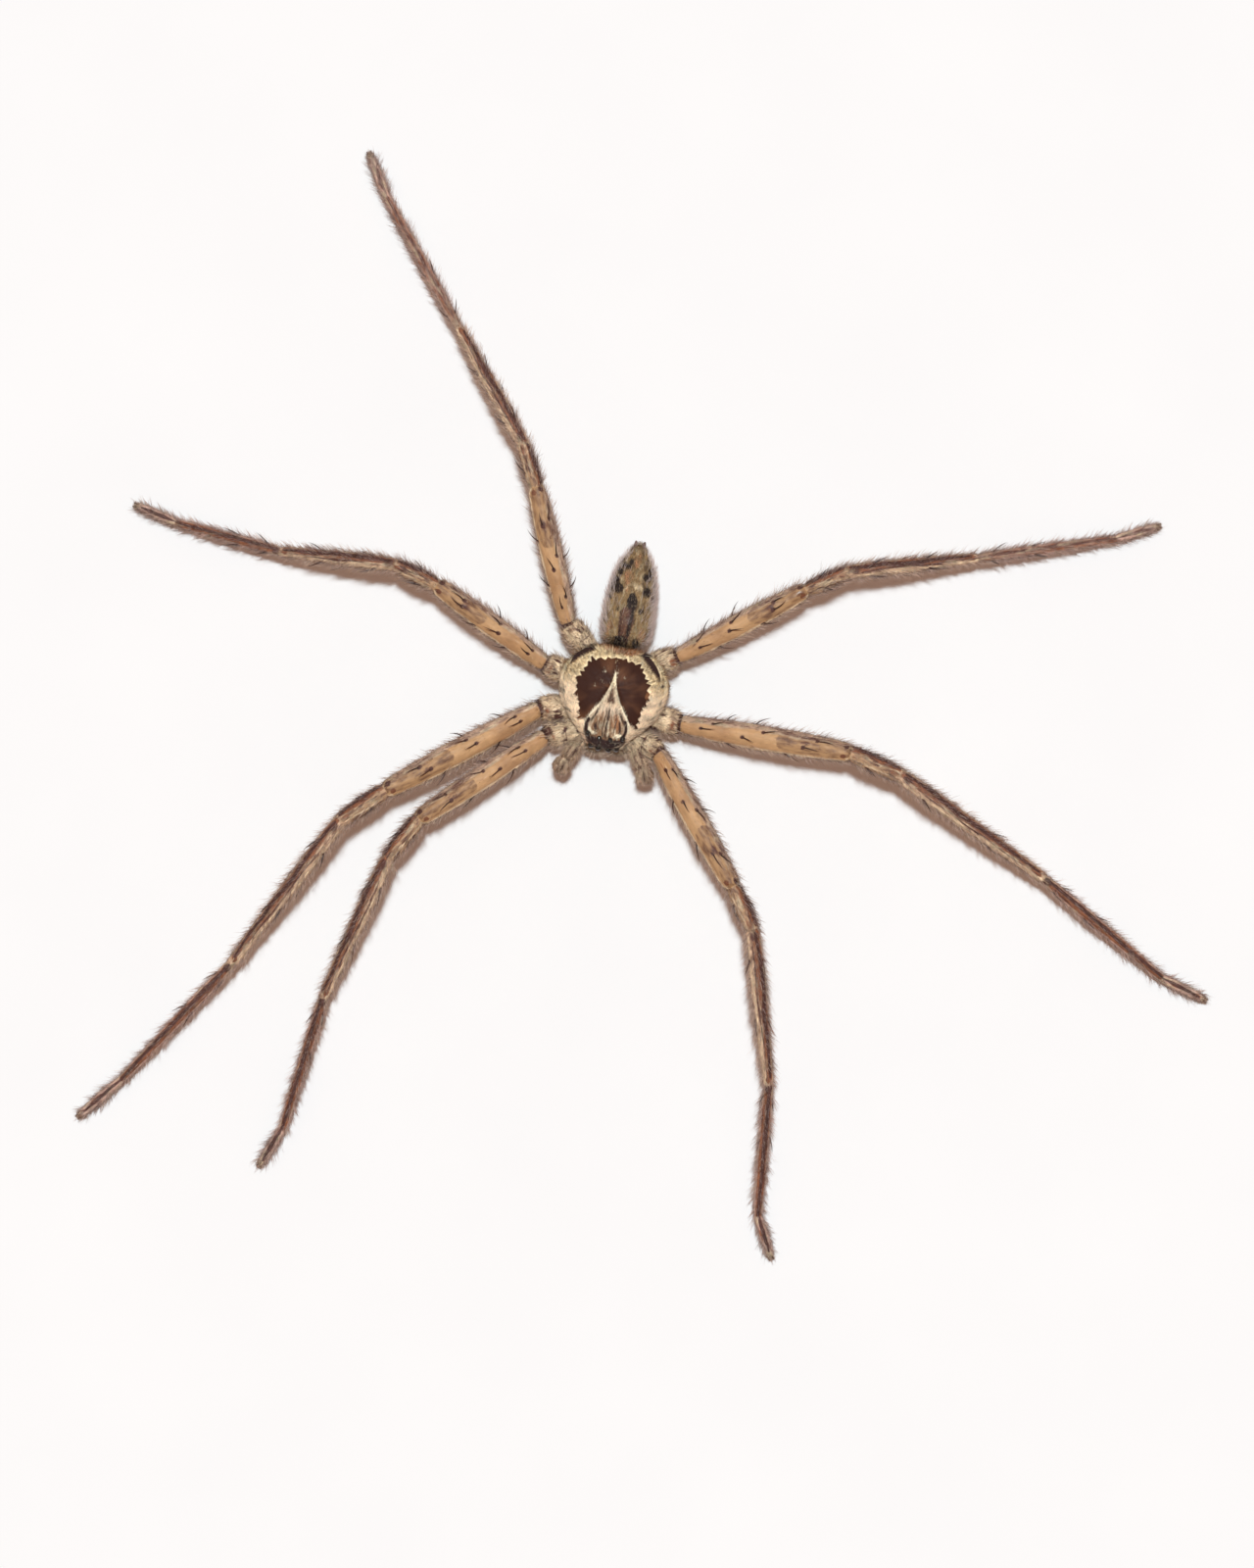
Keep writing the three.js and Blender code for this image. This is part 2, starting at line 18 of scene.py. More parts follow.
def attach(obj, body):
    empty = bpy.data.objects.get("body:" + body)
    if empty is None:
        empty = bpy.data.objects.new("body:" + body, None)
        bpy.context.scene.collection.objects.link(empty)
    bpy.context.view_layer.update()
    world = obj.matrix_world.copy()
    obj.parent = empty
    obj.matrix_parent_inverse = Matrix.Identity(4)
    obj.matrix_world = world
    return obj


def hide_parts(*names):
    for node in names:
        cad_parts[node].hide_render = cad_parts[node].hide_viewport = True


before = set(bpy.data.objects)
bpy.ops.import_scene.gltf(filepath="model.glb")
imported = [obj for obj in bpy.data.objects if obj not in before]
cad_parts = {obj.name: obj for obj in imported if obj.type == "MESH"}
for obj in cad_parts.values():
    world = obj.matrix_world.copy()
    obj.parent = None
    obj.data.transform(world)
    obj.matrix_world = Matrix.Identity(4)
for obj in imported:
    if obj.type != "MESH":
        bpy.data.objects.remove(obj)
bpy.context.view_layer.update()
log = logging.getLogger("spider")

Array = np.ndarray
Row = tuple[float, ...]
Table = tuple[tuple[float, ...], ...]
Colour = tuple[float, float, float]
Fields = dict[str, Array]
Material = bpy.types.Material
Piece = bpy.types.Object
Feed = bpy.types.NodeSocket
Draws = np.random.Generator

MM = 0.001
BODY = "root"
SEED = 11

# Where the spider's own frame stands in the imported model's, and how its front body and abdomen are turned.
POSE_TURN = -6.8
BODY_ORIGIN = (-2.3755, 0.5535, 0.0)
CARAPACE_TURN = -2.8
ABDOMEN_TURN = -2.5
ABDOMEN_FRONT = (0.44, 4.25, 3.75)

UP = np.array([0.0, 0.0, 1.0])
FLOOR_GAP = 0.01
WELD = 2e-6
THINNEST = 0.002
NEVER_BARE = 1e-6

# The unwrap that the hair is laid out on: its name, its margin and span, and the size of a tuft's patch.
COAT_MAP = "OFBake"
MAP_MARGIN = 0.002
MAP_SPAN = 0.992
MAP_PATCH = 0.003
SKIN_MAP = "Unwrap"
PAINTS = ("dark", "rust", "pale", "bare")


class Side(Enum):
    """The two sides of the animal, by the sign of X."""

    LEFT = 1
    RIGHT = -1

    @property
    def word(self) -> str:
        """The side as it stands in a node's name."""
        return self.name.lower()


def unit(vectors: Array) -> Array:
    """Vectors of length one along the last axis."""
    return vectors / np.maximum(np.linalg.norm(vectors, axis=-1, keepdims=True), 1e-12)


def turned(points: Array, degrees: float) -> Array:
    """Points or directions turned about the upright axis."""
    cos, sin = math.cos(math.radians(degrees)), math.sin(math.radians(degrees))
    return np.asarray(points, float) @ np.array([[cos, -sin, 0], [sin, cos, 0], [0, 0, 1]]).T


def in_row(points: Array) -> Array:
    """Points of the spider's frame, in millimetres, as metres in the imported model's frame."""
    return (turned(points, POSE_TURN) + np.array(BODY_ORIGIN)) * MM


def spline(x: Array, knots: Array, values: Array) -> Array:
    """A smooth curve through values.

    Args:
        x: Where the curve is wanted.
        knots: Where the values stand, rising.
        values: One number or vector for each knot.

    Returns:
        The curve's numbers or vectors at x.
    """
    knots, values = np.asarray(knots, float), np.asarray(values, float)
    slopes = np.gradient(values, knots, axis=0)
    i = np.clip(np.searchsorted(knots, x, side="right") - 1, 0, len(knots) - 2)
    width = knots[i + 1] - knots[i]
    t = np.clip((x - knots[i]) / width, 0, 1)
    if values.ndim > 1:
        width, t = width[..., None], t[..., None]
    start = values[i] * (1 + 2 * t) * (1 - t) ** 2 + width * slopes[i] * t * (1 - t) ** 2
    end = values[i + 1] * (3 - 2 * t) * t**2 - width * slopes[i + 1] * (1 - t) * t**2
    return start + end


def ripple(points: Array, size: float, seed: int) -> Array:
    """A smooth seeded unevenness from about -1 to 1, with waves of about that size in millimetres."""
    rng = np.random.default_rng(seed)
    ways = unit(rng.normal(size=(7, 3))) * (2 * math.pi / size) * rng.uniform(0.7, 1.5, (7, 1))
    return np.sin(points @ ways.T + rng.uniform(0, 2 * math.pi, 7)).sum(-1) / 3.5


def ramp(values: Array, start: float, width: float) -> Array:
    """A straight rise from 0 at the start to 1 a width further on, or further back for a width below 0."""
    return np.clip((values - start) / width, 0, 1)


def bell(values: Array, centre: float, width: float) -> Array:
    """A bell curve, 1 at its centre."""
    return np.exp(-(((values - centre) / width) ** 2))


def rounded(gap: Array, radius: float) -> Array:
    """How far a shape has opened at a gap from its end, from 0 to 1, where the end has that radius."""
    return np.sqrt(np.clip(1 - (1 - np.clip(gap / radius, 0, 1)) ** 2, 0, 1))


def ring_angles(sides: int) -> Array:
    """Even angles round a ring."""
    return np.linspace(0, 2 * math.pi, sides, endpoint=False)


def run_along(line: Array) -> Array:
    """The distance along a line at each of its points."""
    return np.concatenate([[0], np.cumsum(np.linalg.norm(np.diff(line, axis=0), axis=1))])


def tube(points: Array, radii: Array, sides: int) -> tuple[Array, Array]:
    """Rings round a middle line, each from its level side over the top.

    Args:
        points: The middle line.
        radii: The radius at each of its points.
        sides: How many corners a ring has.

    Returns:
        The rings, and the directions out to their corners.
    """
    ways = unit(np.gradient(points, axis=0))
    up = unit(UP - ways * ways[:, 2:3])
    side = np.cross(ways, up)
    angle = ring_angles(sides)
    out = side[:, None] * np.cos(angle)[None, :, None] + up[:, None] * np.sin(angle)[None, :, None]
    return points[:, None] + out * radii[:, None, None], out


# Marks drawn on a surface that is laid out flat, in millimetres

# How the teeth of an outline differ: swing and pace of their spacing and height, and how deep they start.
TOOTH_SPACING = ((0.5, 2.1), (0.35, 5.3))
TOOTH_HEIGHT = (0.4, 3.7)
TOOTH_SINK = 0.4


def nearest_place(
    flat: Array, start: Array, edge: Array
) -> tuple[Array, Array, Array]:
    """The nearest place to each point on a chain of edges.

    Args:
        flat: The points.
        start: Where each edge starts.
        edge: How each edge runs.

    Returns:
        The distance to it, the edge it is on and the share of that edge.
    """
    to = flat[:, None, :] - start
    share = np.clip((to * edge).sum(-1) / (edge**2).sum(-1), 0, 1)
    gap = np.linalg.norm(to - share[..., None] * edge, axis=-1)
    nearest = gap.argmin(1)
    row = np.arange(len(flat))
    return gap[row, nearest], nearest, share[row, nearest]


@dataclass(frozen=True)
class Blot:
    """A filled outline, with teeth of a given height and pitch along the first share of its edge."""

    outline: Table
    strength: float = 1.0
    teeth: float = 0.0
    pitch: float = 0.5
    toothed: float = 1.0

    def depth(self, flat: Array) -> Array:
        """How far inside the edge each point lies, less than 0 outside."""
        start = np.array(self.outline, float)
        end = np.roll(start, -1, axis=0)
        edge = end - start
        gap, nearest, share = nearest_place(flat, start, edge)
        crossed = (start[:, 1] > flat[:, 1:2]) != (end[:, 1] > flat[:, 1:2])
        rise = np.where(np.abs(edge[:, 1]) > 1e-9, edge[:, 1], 1e-9)
        left_of = flat[:, :1] < start[:, 0] + edge[:, 0] * (flat[:, 1:2] - start[:, 1]) / rise
        inside = (crossed & left_of).sum(1) % 2 == 1
        lengths = np.linalg.norm(edge, axis=1)
        run = np.cumsum(lengths) - lengths
        place = run[nearest] + share * lengths[nearest]
        waver = sum(swing * np.sin(place * pace) for swing, pace in TOOTH_SPACING)
        peak = np.abs((place / self.pitch + waver / 3) % 1 * 2 - 1)
        swing, pace = TOOTH_HEIGHT
        bumps = self.teeth * (peak * (1 + swing * np.sin(place * pace)) - TOOTH_SINK)
        bumps = bumps * (place < self.toothed * lengths.sum())
        return np.where(inside, gap, -gap) + bumps


@dataclass(frozen=True)
class Stroke:
    """A line of a given half width, which may thin towards its ends."""

    points: Table
    half: float
    strength: float = 1.0
    thin: float = 1.0

    def depth(self, flat: Array) -> Array:
        """How far inside the edge each point lies, less than 0 outside."""
        line = np.array(self.points, float)
        edge = np.diff(line, axis=0)
        gap, nearest, share = nearest_place(flat, line[:-1], edge)
        swell = np.sin(math.pi * (nearest + share) / len(edge))
        return self.half * (self.thin + (1 - self.thin) * swell) - gap


@dataclass(frozen=True)
class Spot:
    """An oval, by its centre and its two half sizes."""

    centre: tuple[float, float]
    halves: tuple[float, float]
    strength: float = 1.0
    turn: float = 0.0

    def depth(self, flat: Array) -> Array:
        """How far inside the edge each point lies, less than 0 outside."""
        angle = math.radians(self.turn)
        to = flat - np.array(self.centre)
        x = to[:, 0] * math.cos(angle) + to[:, 1] * math.sin(angle)
        y = -to[:, 0] * math.sin(angle) + to[:, 1] * math.cos(angle)
        reach = np.hypot(x / self.halves[0], y / self.halves[1])
        return (1 - reach) * min(self.halves)


Marks = list[Blot | Stroke | Spot]


def inked(flat: Array, marks: Marks, soft: float = 0.12) -> Array:
    """How strongly marks cover points of a flat layout.

    Args:
        flat: Points, shape (..., 2), in millimetres.
        marks: The marks.
        soft: Half the width of the blurred edge, in millimetres.

    Returns:
        The strongest cover at each point, from 0 to 1.
    """
    shape, points = flat.shape[:-1], flat.reshape(-1, 2)
    cover = np.zeros(len(points))
    for mark in marks:
        cover = np.maximum(cover, mark.strength * np.clip(0.5 + mark.depth(points) / (2 * soft), 0, 1))
    return cover.reshape(shape)


# Skins made of rings, and the hair that grows on them


@dataclass(frozen=True)
class Wear:
    """What a piece wears: its material, and the name of a material slot, which nothing in the script reads.
    """

    material: Material
    slot: str


@dataclass
class Sleeve:
    """A closed skin made of rings, with what is painted on it and the way its hair lies.

    Rings and fields have one row for each ring and one column for each corner. A ring that is drawn
    together into a point closes an end.
    """

    name: str
    rings: Array
    paint: Fields = field(default_factory=dict)
    lie: Array | None = None
    strips: int = 1
    grain: Array | None = None

    def __post_init__(self) -> None:
        """Lays streaks along the skin where no other way is given."""
        if self.grain is None:
            self.grain = self.lengthwise()

    def lengthwise(self) -> Array:
        """Millimetres along the middle, and out from it in two directions across."""
        middle = self.rings.mean(1)
        out = np.linalg.norm(self.rings - middle[:, None], axis=2)
        angle = ring_angles(self.rings.shape[1])[None]
        run = run_along(middle)[:, None] + 0 * out
        return np.stack([run, out * np.cos(angle), out * np.sin(angle)], axis=-1)

    def wrapped(self, values: Array) -> Array:
        """A grid of values with its first column repeated at the end."""
        return np.concatenate([values, values[:, :1]], axis=1)

    def build(self, wear: Wear, nodes: list[str]) -> Piece:
        """Makes the skin's mesh from a grid that is rolled up and welded.

        Args:
            wear: What the skin wears.
            nodes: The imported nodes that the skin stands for.

        Returns:
            The skin, riding on the body.
        """
        rows, sides = self.rings.shape[:2]
        bm = bmesh.new()
        bm.loops.layers.uv.new(SKIN_MAP)
        bmesh.ops.create_grid(bm, x_segments=sides, y_segments=rows - 1, size=0.5, calc_uvs=True)
        mesh = bpy.data.meshes.new(self.name)
        bm.to_mesh(mesh)
        mesh.vertices.foreach_set("co", in_row(self.wrapped(self.rings)).reshape(-1).astype(np.float32))
        for name, values in self.paint.items():
            layer = mesh.attributes.new(name, "FLOAT", "POINT")
            layer.data.foreach_set("value", self.wrapped(values).reshape(-1).astype(np.float32))
        layer = mesh.attributes.new("grain", "FLOAT_VECTOR", "POINT")
        layer.data.foreach_set("vector", self.wrapped(self.grain).reshape(-1).astype(np.float32))
        bm.clear()
        bm.from_mesh(mesh)
        bmesh.ops.remove_doubles(bm, verts=bm.verts, dist=WELD)
        holes = [edge for edge in bm.edges if edge.is_boundary]
        if holes:
            bmesh.ops.holes_fill(bm, edges=holes)
        bmesh.ops.recalc_face_normals(bm, faces=bm.faces)
        bm.to_mesh(mesh)
        bm.free()
        return dress(self.name, mesh, wear, nodes)

    def sample(self, values: Array, row: Array, column: Array) -> Array:
        """Values of a grid between its rings and corners, by row and column as real numbers."""
        grid = self.wrapped(values)
        i = np.clip(row.astype(int), 0, grid.shape[0] - 2)
        j = np.clip(column.astype(int), 0, grid.shape[1] - 2)
        s, t = row - i, column - j
        if grid.ndim > 2:
            s, t = s[:, None], t[:, None]
        near = grid[i, j] * (1 - t) + grid[i, j + 1] * t
        far = grid[i + 1, j] * (1 - t) + grid[i + 1, j + 1] * t
        return near * (1 - s) + far * s

    def stand(self, row: Array, column: Array) -> tuple[Array, Array, Array]:
        """Places on the skin.

        Args:
            row: Place along the rings.
            column: Place round them.

        Returns:
            The points, the outward directions and the directions in which the hair lies.
        """
        grid = self.wrapped(self.rings)
        i = np.clip(row.astype(int), 1, grid.shape[0] - 3)
        j = np.clip(column.astype(int), 0, grid.shape[1] - 2)
        down = grid[i + 2, j] + grid[i + 2, j + 1] - grid[i - 1, j] - grid[i - 1, j + 1]
        across = grid[i, j + 1] + grid[i + 1, j + 1] - grid[i, j] - grid[i + 1, j]
        out = unit(np.cross(across, down))
        middle = self.rings.mean(1)[i]
        point = self.sample(self.rings, row, column)
        out *= np.where(((point - middle) * out).sum(1) < 0, -1, 1)[:, None]
        way = down if self.lie is None else self.sample(self.lie, row, column)
        way = unit(way - (way * out).sum(1, keepdims=True) * out)
        return point, out, way


@dataclass(frozen=True)
class Pile:
    """One kind of hair: how many, what is added to the seed, and their build in millimetres and degrees."""

    number: int
    draw: int
    length: float
    width: float
    lift: float
    joints: int = 1
    vary: float = 0.3
    lift_vary: float = 0.5
    width_vary: float = 0.25
    sway: float = 14.0
    bend: float = 0.0
    taper: float = 0.55
    ridge: float = 0.96
    sunk: float = 0.03
    fade: float = 0.0


@dataclass
class Tufts:
    """Tufts of hair gathered on the way to one coat: their points, roots on the unwrap and paint."""

    corners: list[Array] = field(default_factory=list)
    faces: list[Array] = field(default_factory=list)
    maps: list[Array] = field(default_factory=list)
    paint: dict[str, list[Array]] = field(default_factory=dict)
    count: int = 0

    def plant(
        self,
        sleeve: Sleeve,
        pile: Pile,
        density: Array,
        seed: int = SEED,
        shelf: tuple[float, float] = (0.0, 1.0),
    ) -> None:
        """Sets hairs on a skin at seeded places.

        Args:
            sleeve: The skin they grow on.
            pile: The kind of hair.
            density: How thickly they stand at each corner of each ring.
            seed: What fixes the random draws, together with the pile's own number.
            shelf: The part of the unwrap's height that this skin has.
        """
        rng = np.random.default_rng(seed + pile.draw)
        number = pile.number
        grid = sleeve.wrapped(sleeve.rings)
        sides = np.linalg.norm(
            np.cross(grid[1:, :-1] - grid[:-1, :-1], grid[:-1, 1:] - grid[:-1, :-1]), axis=2
        ) + np.linalg.norm(np.cross(grid[1:, 1:] - grid[1:, :-1], grid[:-1, 1:] - grid[1:, 1:]), axis=2)
        thick = sleeve.wrapped(density)
        weight = sides * (thick[1:, :-1] + thick[:-1, :-1] + thick[1:, 1:] + thick[:-1, 1:])
        chance = np.cumsum(weight.reshape(-1))
        cell = np.searchsorted(chance, rng.uniform(0, chance[-1], number))
        cell = np.minimum(cell, weight.size - 1)
        row = cell // weight.shape[1] + rng.uniform(0, 1, number)
        column = cell % weight.shape[1] + rng.uniform(0, 1, number)
        point, out, way = sleeve.stand(row, column)
        self.add(point, out, way, pile, rng, self.root_map(sleeve, row, column, shelf))
        for name in (*PAINTS, "zone"):
            values = sleeve.paint.get(name)
            found = np.zeros(number) if values is None else sleeve.sample(values, row, column)
            self.keep(name, found, pile.joints)
        self.keep("grain", sleeve.sample(sleeve.grain, row, column), pile.joints)

    def root_map(
        self, sleeve: Sleeve, row: Array, column: Array, shelf: tuple[float, float]
    ) -> Array:
        """Each root's place on an unwrap of the skin, cut into strips that lie side by side."""
        rows, sides = sleeve.rings.shape[:2]
        along = row / (rows - 1) * sleeve.strips
        strip = np.minimum(along.astype(int), sleeve.strips - 1)
        u = along - strip
        v = (strip + column / sides) / sleeve.strips
        u, v = MAP_MARGIN + u * MAP_SPAN, MAP_MARGIN + v * MAP_SPAN
        return np.stack([u, shelf[0] + (shelf[1] - shelf[0]) * v], axis=1)

    def keep(self, name: str, values: Array, joints: int) -> None:
        """Stores one painted value for every corner of the hairs just planted."""
        self.paint.setdefault(name, []).append(np.repeat(values, 3 * joints + 1, axis=0))

    def add(
        self,
        point: Array,
        out: Array,
        way: Array,
        pile: Pile,
        rng: Draws,
        root: Array,
    ) -> None:
        """Builds tapered three-sided hairs.

        Args:
            point: Their roots.
            out: Directions out of the skin.
            way: Directions in which they lie.
            pile: The kind of hair.
            rng: Where the random draws come from.
            root: The roots' places on the unwrap.
        """
        number, joints = len(point), pile.joints
        side = np.cross(out, way)
        sway = np.radians(rng.normal(0, pile.sway, number))[:, None]
        lying = way * np.cos(sway) + side * np.sin(sway)
        side = unit(np.cross(out, lying))
        length = pile.length * (1 + rng.uniform(-pile.vary, pile.vary, number))[:, None]
        lift = np.radians(pile.lift * (1 + rng.uniform(-pile.lift_vary, pile.lift_vary, number)))[:, None]
        width = pile.width * (1 + rng.uniform(-pile.width_vary, pile.width_vary, number))[:, None]
        place = point - out * pile.sunk
        rows, tips, maps = [], [], []
        for joint in range(joints):
            rise = lift * (1 - pile.bend * joint / joints)
            half = width / 2 * (1 - pile.taper * joint / joints)
            rows += [place - side * half, place + side * half, place + out * half * pile.ridge]
            place = place + (lying * np.cos(rise) + out * np.sin(rise)) * length / joints
            tips += [joint / joints] * 3
            maps += [(-0.5, joint / joints - 0.5), (0.5, joint / joints - 0.5), (0.1, joint / joints - 0.4)]
        rows.append(place)
        tips.append(1.0)
        maps.append((0.0, 0.5))
        corners = np.stack(rows, axis=1)
        corners[..., 2] = np.maximum(corners[..., 2], FLOOR_GAP)
        each = 3 * joints + 1
        faces = [(0, 1, 2)]
        for joint in range(joints - 1):
            a = 3 * joint
            for one, two in ((0, 1), (1, 2), (2, 0)):
                faces += [(a + one, a + one + 3, a + two), (a + two, a + one + 3, a + two + 3)]
        a = 3 * (joints - 1)
        faces += [(a + one, a + 3, a + two) for one, two in ((0, 1), (1, 2), (2, 0))]
        start = self.count + np.arange(number)[:, None, None] * each
        self.corners.append(corners.reshape(-1, 3))
        self.faces.append((start + np.array(faces)[None]).reshape(-1, 3))
        patch = root[:, None, :] + np.array(maps)[None] * MAP_PATCH
        self.maps.append(np.clip(patch, 0, 1).reshape(-1, 2))
        self.paint.setdefault("tip", []).append(np.tile(np.array(tips), number))
        self.paint.setdefault("shade", []).append(np.repeat(rng.uniform(0, 1, number), each))
        self.paint.setdefault("fade", []).append(np.full(number * each, pile.fade))
        self.count += number * each

    def build(self, name: str, wear: Wear) -> Piece:
        """Joins the hairs into one mesh with their map and paint.

        Args:
            name: The piece's name.
            wear: What the coat wears.

        Returns:
            The coat, riding on the body.
        """
        corners, faces = np.concatenate(self.corners), np.concatenate(self.faces)
        mesh = bpy.data.meshes.new(name)
        mesh.vertices.add(len(corners))
        mesh.vertices.foreach_set("co", in_row(corners).astype(np.float32).reshape(-1))
        mesh.loops.add(faces.size)
        mesh.loops.foreach_set("vertex_index", faces.astype(np.int32).reshape(-1))
        mesh.polygons.add(len(faces))
        mesh.polygons.foreach_set("loop_start", np.arange(0, faces.size, 3, dtype=np.int32))
        mesh.update(calc_edges=True)
        uv = mesh.uv_layers.new(name=COAT_MAP)
        maps = np.concatenate(self.maps)
        uv.data.foreach_set("uv", maps[faces.reshape(-1)].astype(np.float32).reshape(-1))
        for paint, parts in self.paint.items():
            values = np.concatenate(parts).astype(np.float32)
            kind, key = ("FLOAT_VECTOR", "vector") if values.ndim > 1 else ("FLOAT", "value")
            mesh.attributes.new(paint, kind, "POINT").data.foreach_set(key, values.reshape(-1))
        return dress(name, mesh, wear)


def placed(name: str, data: bpy.types.ID) -> Piece:
    """A new object in the scene."""
    item = bpy.data.objects.new(name, data)
    bpy.context.scene.collection.objects.link(item)
    return item


def finished(name: str, bm: bmesh.types.BMesh) -> bpy.types.Mesh:
    """The mesh made in a workspace, which is then let go."""
    mesh = bpy.data.meshes.new(name)
    bm.to_mesh(mesh)
    bm.free()
    return mesh


def dress(name: str, mesh: bpy.types.Mesh, wear: Wear, nodes: list[str] | None = None) -> Piece:
    """Puts a finished mesh in the scene.

    Args:
        name: The piece's name.
        mesh: Its mesh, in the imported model's frame.
        wear: What it wears.
        nodes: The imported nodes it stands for.

    Returns:
        The piece, riding on the body.
    """
    mesh.name = name
    mesh.shade_smooth()
    mesh.materials.append(wear.material)
    piece = placed(name, mesh)
    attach(piece, BODY)
    if nodes:
        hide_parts(*nodes)
    log.info("%s: %d faces", name, len(mesh.polygons))
    return piece


@dataclass(frozen=True)
class Horn:
    """A closed tapered horn: its middle line in the spider's frame, and its radii, the last 0 for a tip."""

    points: Array
    radii: Row

    def grow(self, bm: bmesh.types.BMesh, sides: int) -> None:
        """Grows the horn ring by ring.

        Args:
            bm: The mesh it is added to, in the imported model's frame.
            sides: How many sides it has.
        """
        middle = in_row(np.asarray(self.points, float))
        rings = [self.ring(*place) for place in zip(middle, unit(np.gradient(middle, axis=0)), self.radii)]
        ring = bmesh.ops.create_circle(bm, cap_ends=True, radius=1, segments=sides, matrix=rings[0])["verts"]
        edges = list({edge for vert in ring for edge in vert.link_edges})
        for near, far in zip(rings, rings[1:]):
            made = bmesh.ops.extrude_edge_only(bm, edges=edges)["geom"]
            ring = [item for item in made if isinstance(item, bmesh.types.BMVert)]
            loop = [item for item in made if isinstance(item, bmesh.types.BMEdge)]
            edges = [edge for edge in loop if set(edge.verts) <= set(ring)]
            bmesh.ops.transform(bm, matrix=far @ near.inverted(), verts=ring)
        if self.radii[-1] == 0:
            bmesh.ops.pointmerge(bm, verts=ring, merge_co=Vector(middle[-1]))
        else:
            bmesh.ops.holes_fill(bm, edges=edges)

    def ring(self, place: Array, way: Array, radius: float) -> Matrix:
        """The place, turn and size of one ring."""
        turn = Vector(way).to_track_quat("Z", "Y").to_matrix().to_4x4()
        return Matrix.Translation(Vector(place)) @ turn @ Matrix.Scale(max(radius, THINNEST) * MM, 4)


def horn_piece(name: str, horns: list[Horn], wear: Wear, sides: int = 6) -> Piece:
    """One piece made of several horns.

    Args:
        name: The piece's name.
        horns: The horns.
        wear: What they wear.
        sides: How many sides each horn has.

    Returns:
        The piece, riding on the body.
    """
    bm = bmesh.new()
    for each in horns:
        each.grow(bm, sides)
    bmesh.ops.recalc_face_normals(bm, faces=bm.faces)
    return dress(name, finished(name, bm), wear)


# Shader groups and finishes


class Nodes:
    """A node tree with short ways to place and link its nodes."""

    def __init__(self, tree: bpy.types.NodeTree) -> None:
        """Starts on an empty tree."""
        self.tree = tree
        self.column = 0

    def add(self, kind: str, values: dict | None = None, **settings: object) -> bpy.types.Node:
        """Places a node.

        Args:
            kind: The node's type.
            values: What its input sockets hold, or the output sockets that feed them.
            **settings: Its own properties.

        Returns:
            The node.
        """
        node = self.tree.nodes.new(kind)
        node.location = (self.column * 180, 0)
        self.column += 1
        for name, value in settings.items():
            setattr(node, name, value)
        for key, value in (values or {}).items():
            if isinstance(value, Feed):
                self.link(value, node.inputs[key])
            else:
                node.inputs[key].default_value = value
        return node

    def math(self, operation: str, a: object, b: object = 0.0, c: object = 0.0) -> Feed:
        """A Math node's result."""
        return self.add("ShaderNodeMath", {0: a, 1: b, 2: c}, operation=operation).outputs[0]

    def mix(self, factor: object, a: object, b: object, blend: str = "MIX") -> Feed:
        """A colour mix."""
        node = self.add(
            "ShaderNodeMix",
            {0: factor, 6: shown(a), 7: shown(b)},
            data_type="RGBA",
            blend_type=blend,
        )
        return node.outputs[2]

    def smooth(self, value: object, low: float, high: float) -> Feed:
        """A smooth step from low to high."""
        node = self.add(
            "ShaderNodeMapRange",
            {"Value": value, "From Min": low, "From Max": high},
            interpolation_type="SMOOTHSTEP",
        )
        return node.outputs["Result"]

    def noise(self, coordinates: object, scale: float, detail: float = 3.0) -> Feed:
        """A noise texture's value."""
        node = self.add("ShaderNodeTexNoise", {"Vector": coordinates, "Scale": scale, "Detail": detail})
        return node.outputs["Fac"]

    def attribute(self, name: str, part: str = "Fac") -> Feed:
        """A painted value."""
        return self.add("ShaderNodeAttribute", attribute_name=name).outputs[part]

    def streaks(self, grain: object, pace: tuple[float, float]) -> Feed:
        """A noise with a given pace along and across the grain."""
        along, across = pace
        size = self.add("ShaderNodeVectorMath", {0: grain, 1: (along, across, across)}, operation="MULTIPLY")
        return self.noise(size.outputs[0], 1.0, 2.0)

    def place(self) -> Feed:
        """The piece's own coordinates, in metres."""
        return self.add("ShaderNodeTexCoord").outputs["Object"]

    def between(self, share: object, low: object, high: object) -> Feed:
        """A number between two others."""
        return self.add("ShaderNodeMapRange", {"Value": share, "To Min": low, "To Max": high}).outputs[0]

    def link(self, source: Feed, target: Feed) -> None:
        """Feeds one socket from another."""
        self.tree.links.new(source, target)

    def contrast(self, value: object, amount: object) -> Feed:
        """A noise value turned into a swing about 0."""
        return self.math("MULTIPLY", self.math("MULTIPLY_ADD", value, 4.0, -2.0), amount)

    def grey(self, value: object) -> Feed:
        """A number as a grey colour."""
        return self.add("ShaderNodeCombineColor", {0: value, 1: value, 2: value}).outputs[0]


def shown(value: object) -> object:
    """A colour with its fourth number, or a socket as it is."""
    return (*value, 1.0) if isinstance(value, tuple) and len(value) == 3 else value


def group(name: str, inputs: dict[str, str], outputs: dict[str, str]) -> tuple[Nodes, dict, dict]:
    """Starts a shader group.

    Args:
        name: The group's name.
        inputs: The kind of each input socket.
        outputs: The kind of each output socket.

    Returns:
        Its nodes, the sockets that carry its inputs, and the sockets that its outputs are fed by.
    """
    tree = bpy.data.node_groups.new(name, "ShaderNodeTree")
    for sockets, way in ((inputs, "INPUT"), (outputs, "OUTPUT")):
        for socket, kind in sockets.items():
            tree.interface.new_socket(socket, in_out=way, socket_type=kind)
    nodes = Nodes(tree)
    start, end = nodes.add("NodeGroupInput").outputs, nodes.add("NodeGroupOutput").inputs
    return nodes, {socket: start[socket] for socket in inputs}, {socket: end[socket] for socket in outputs}


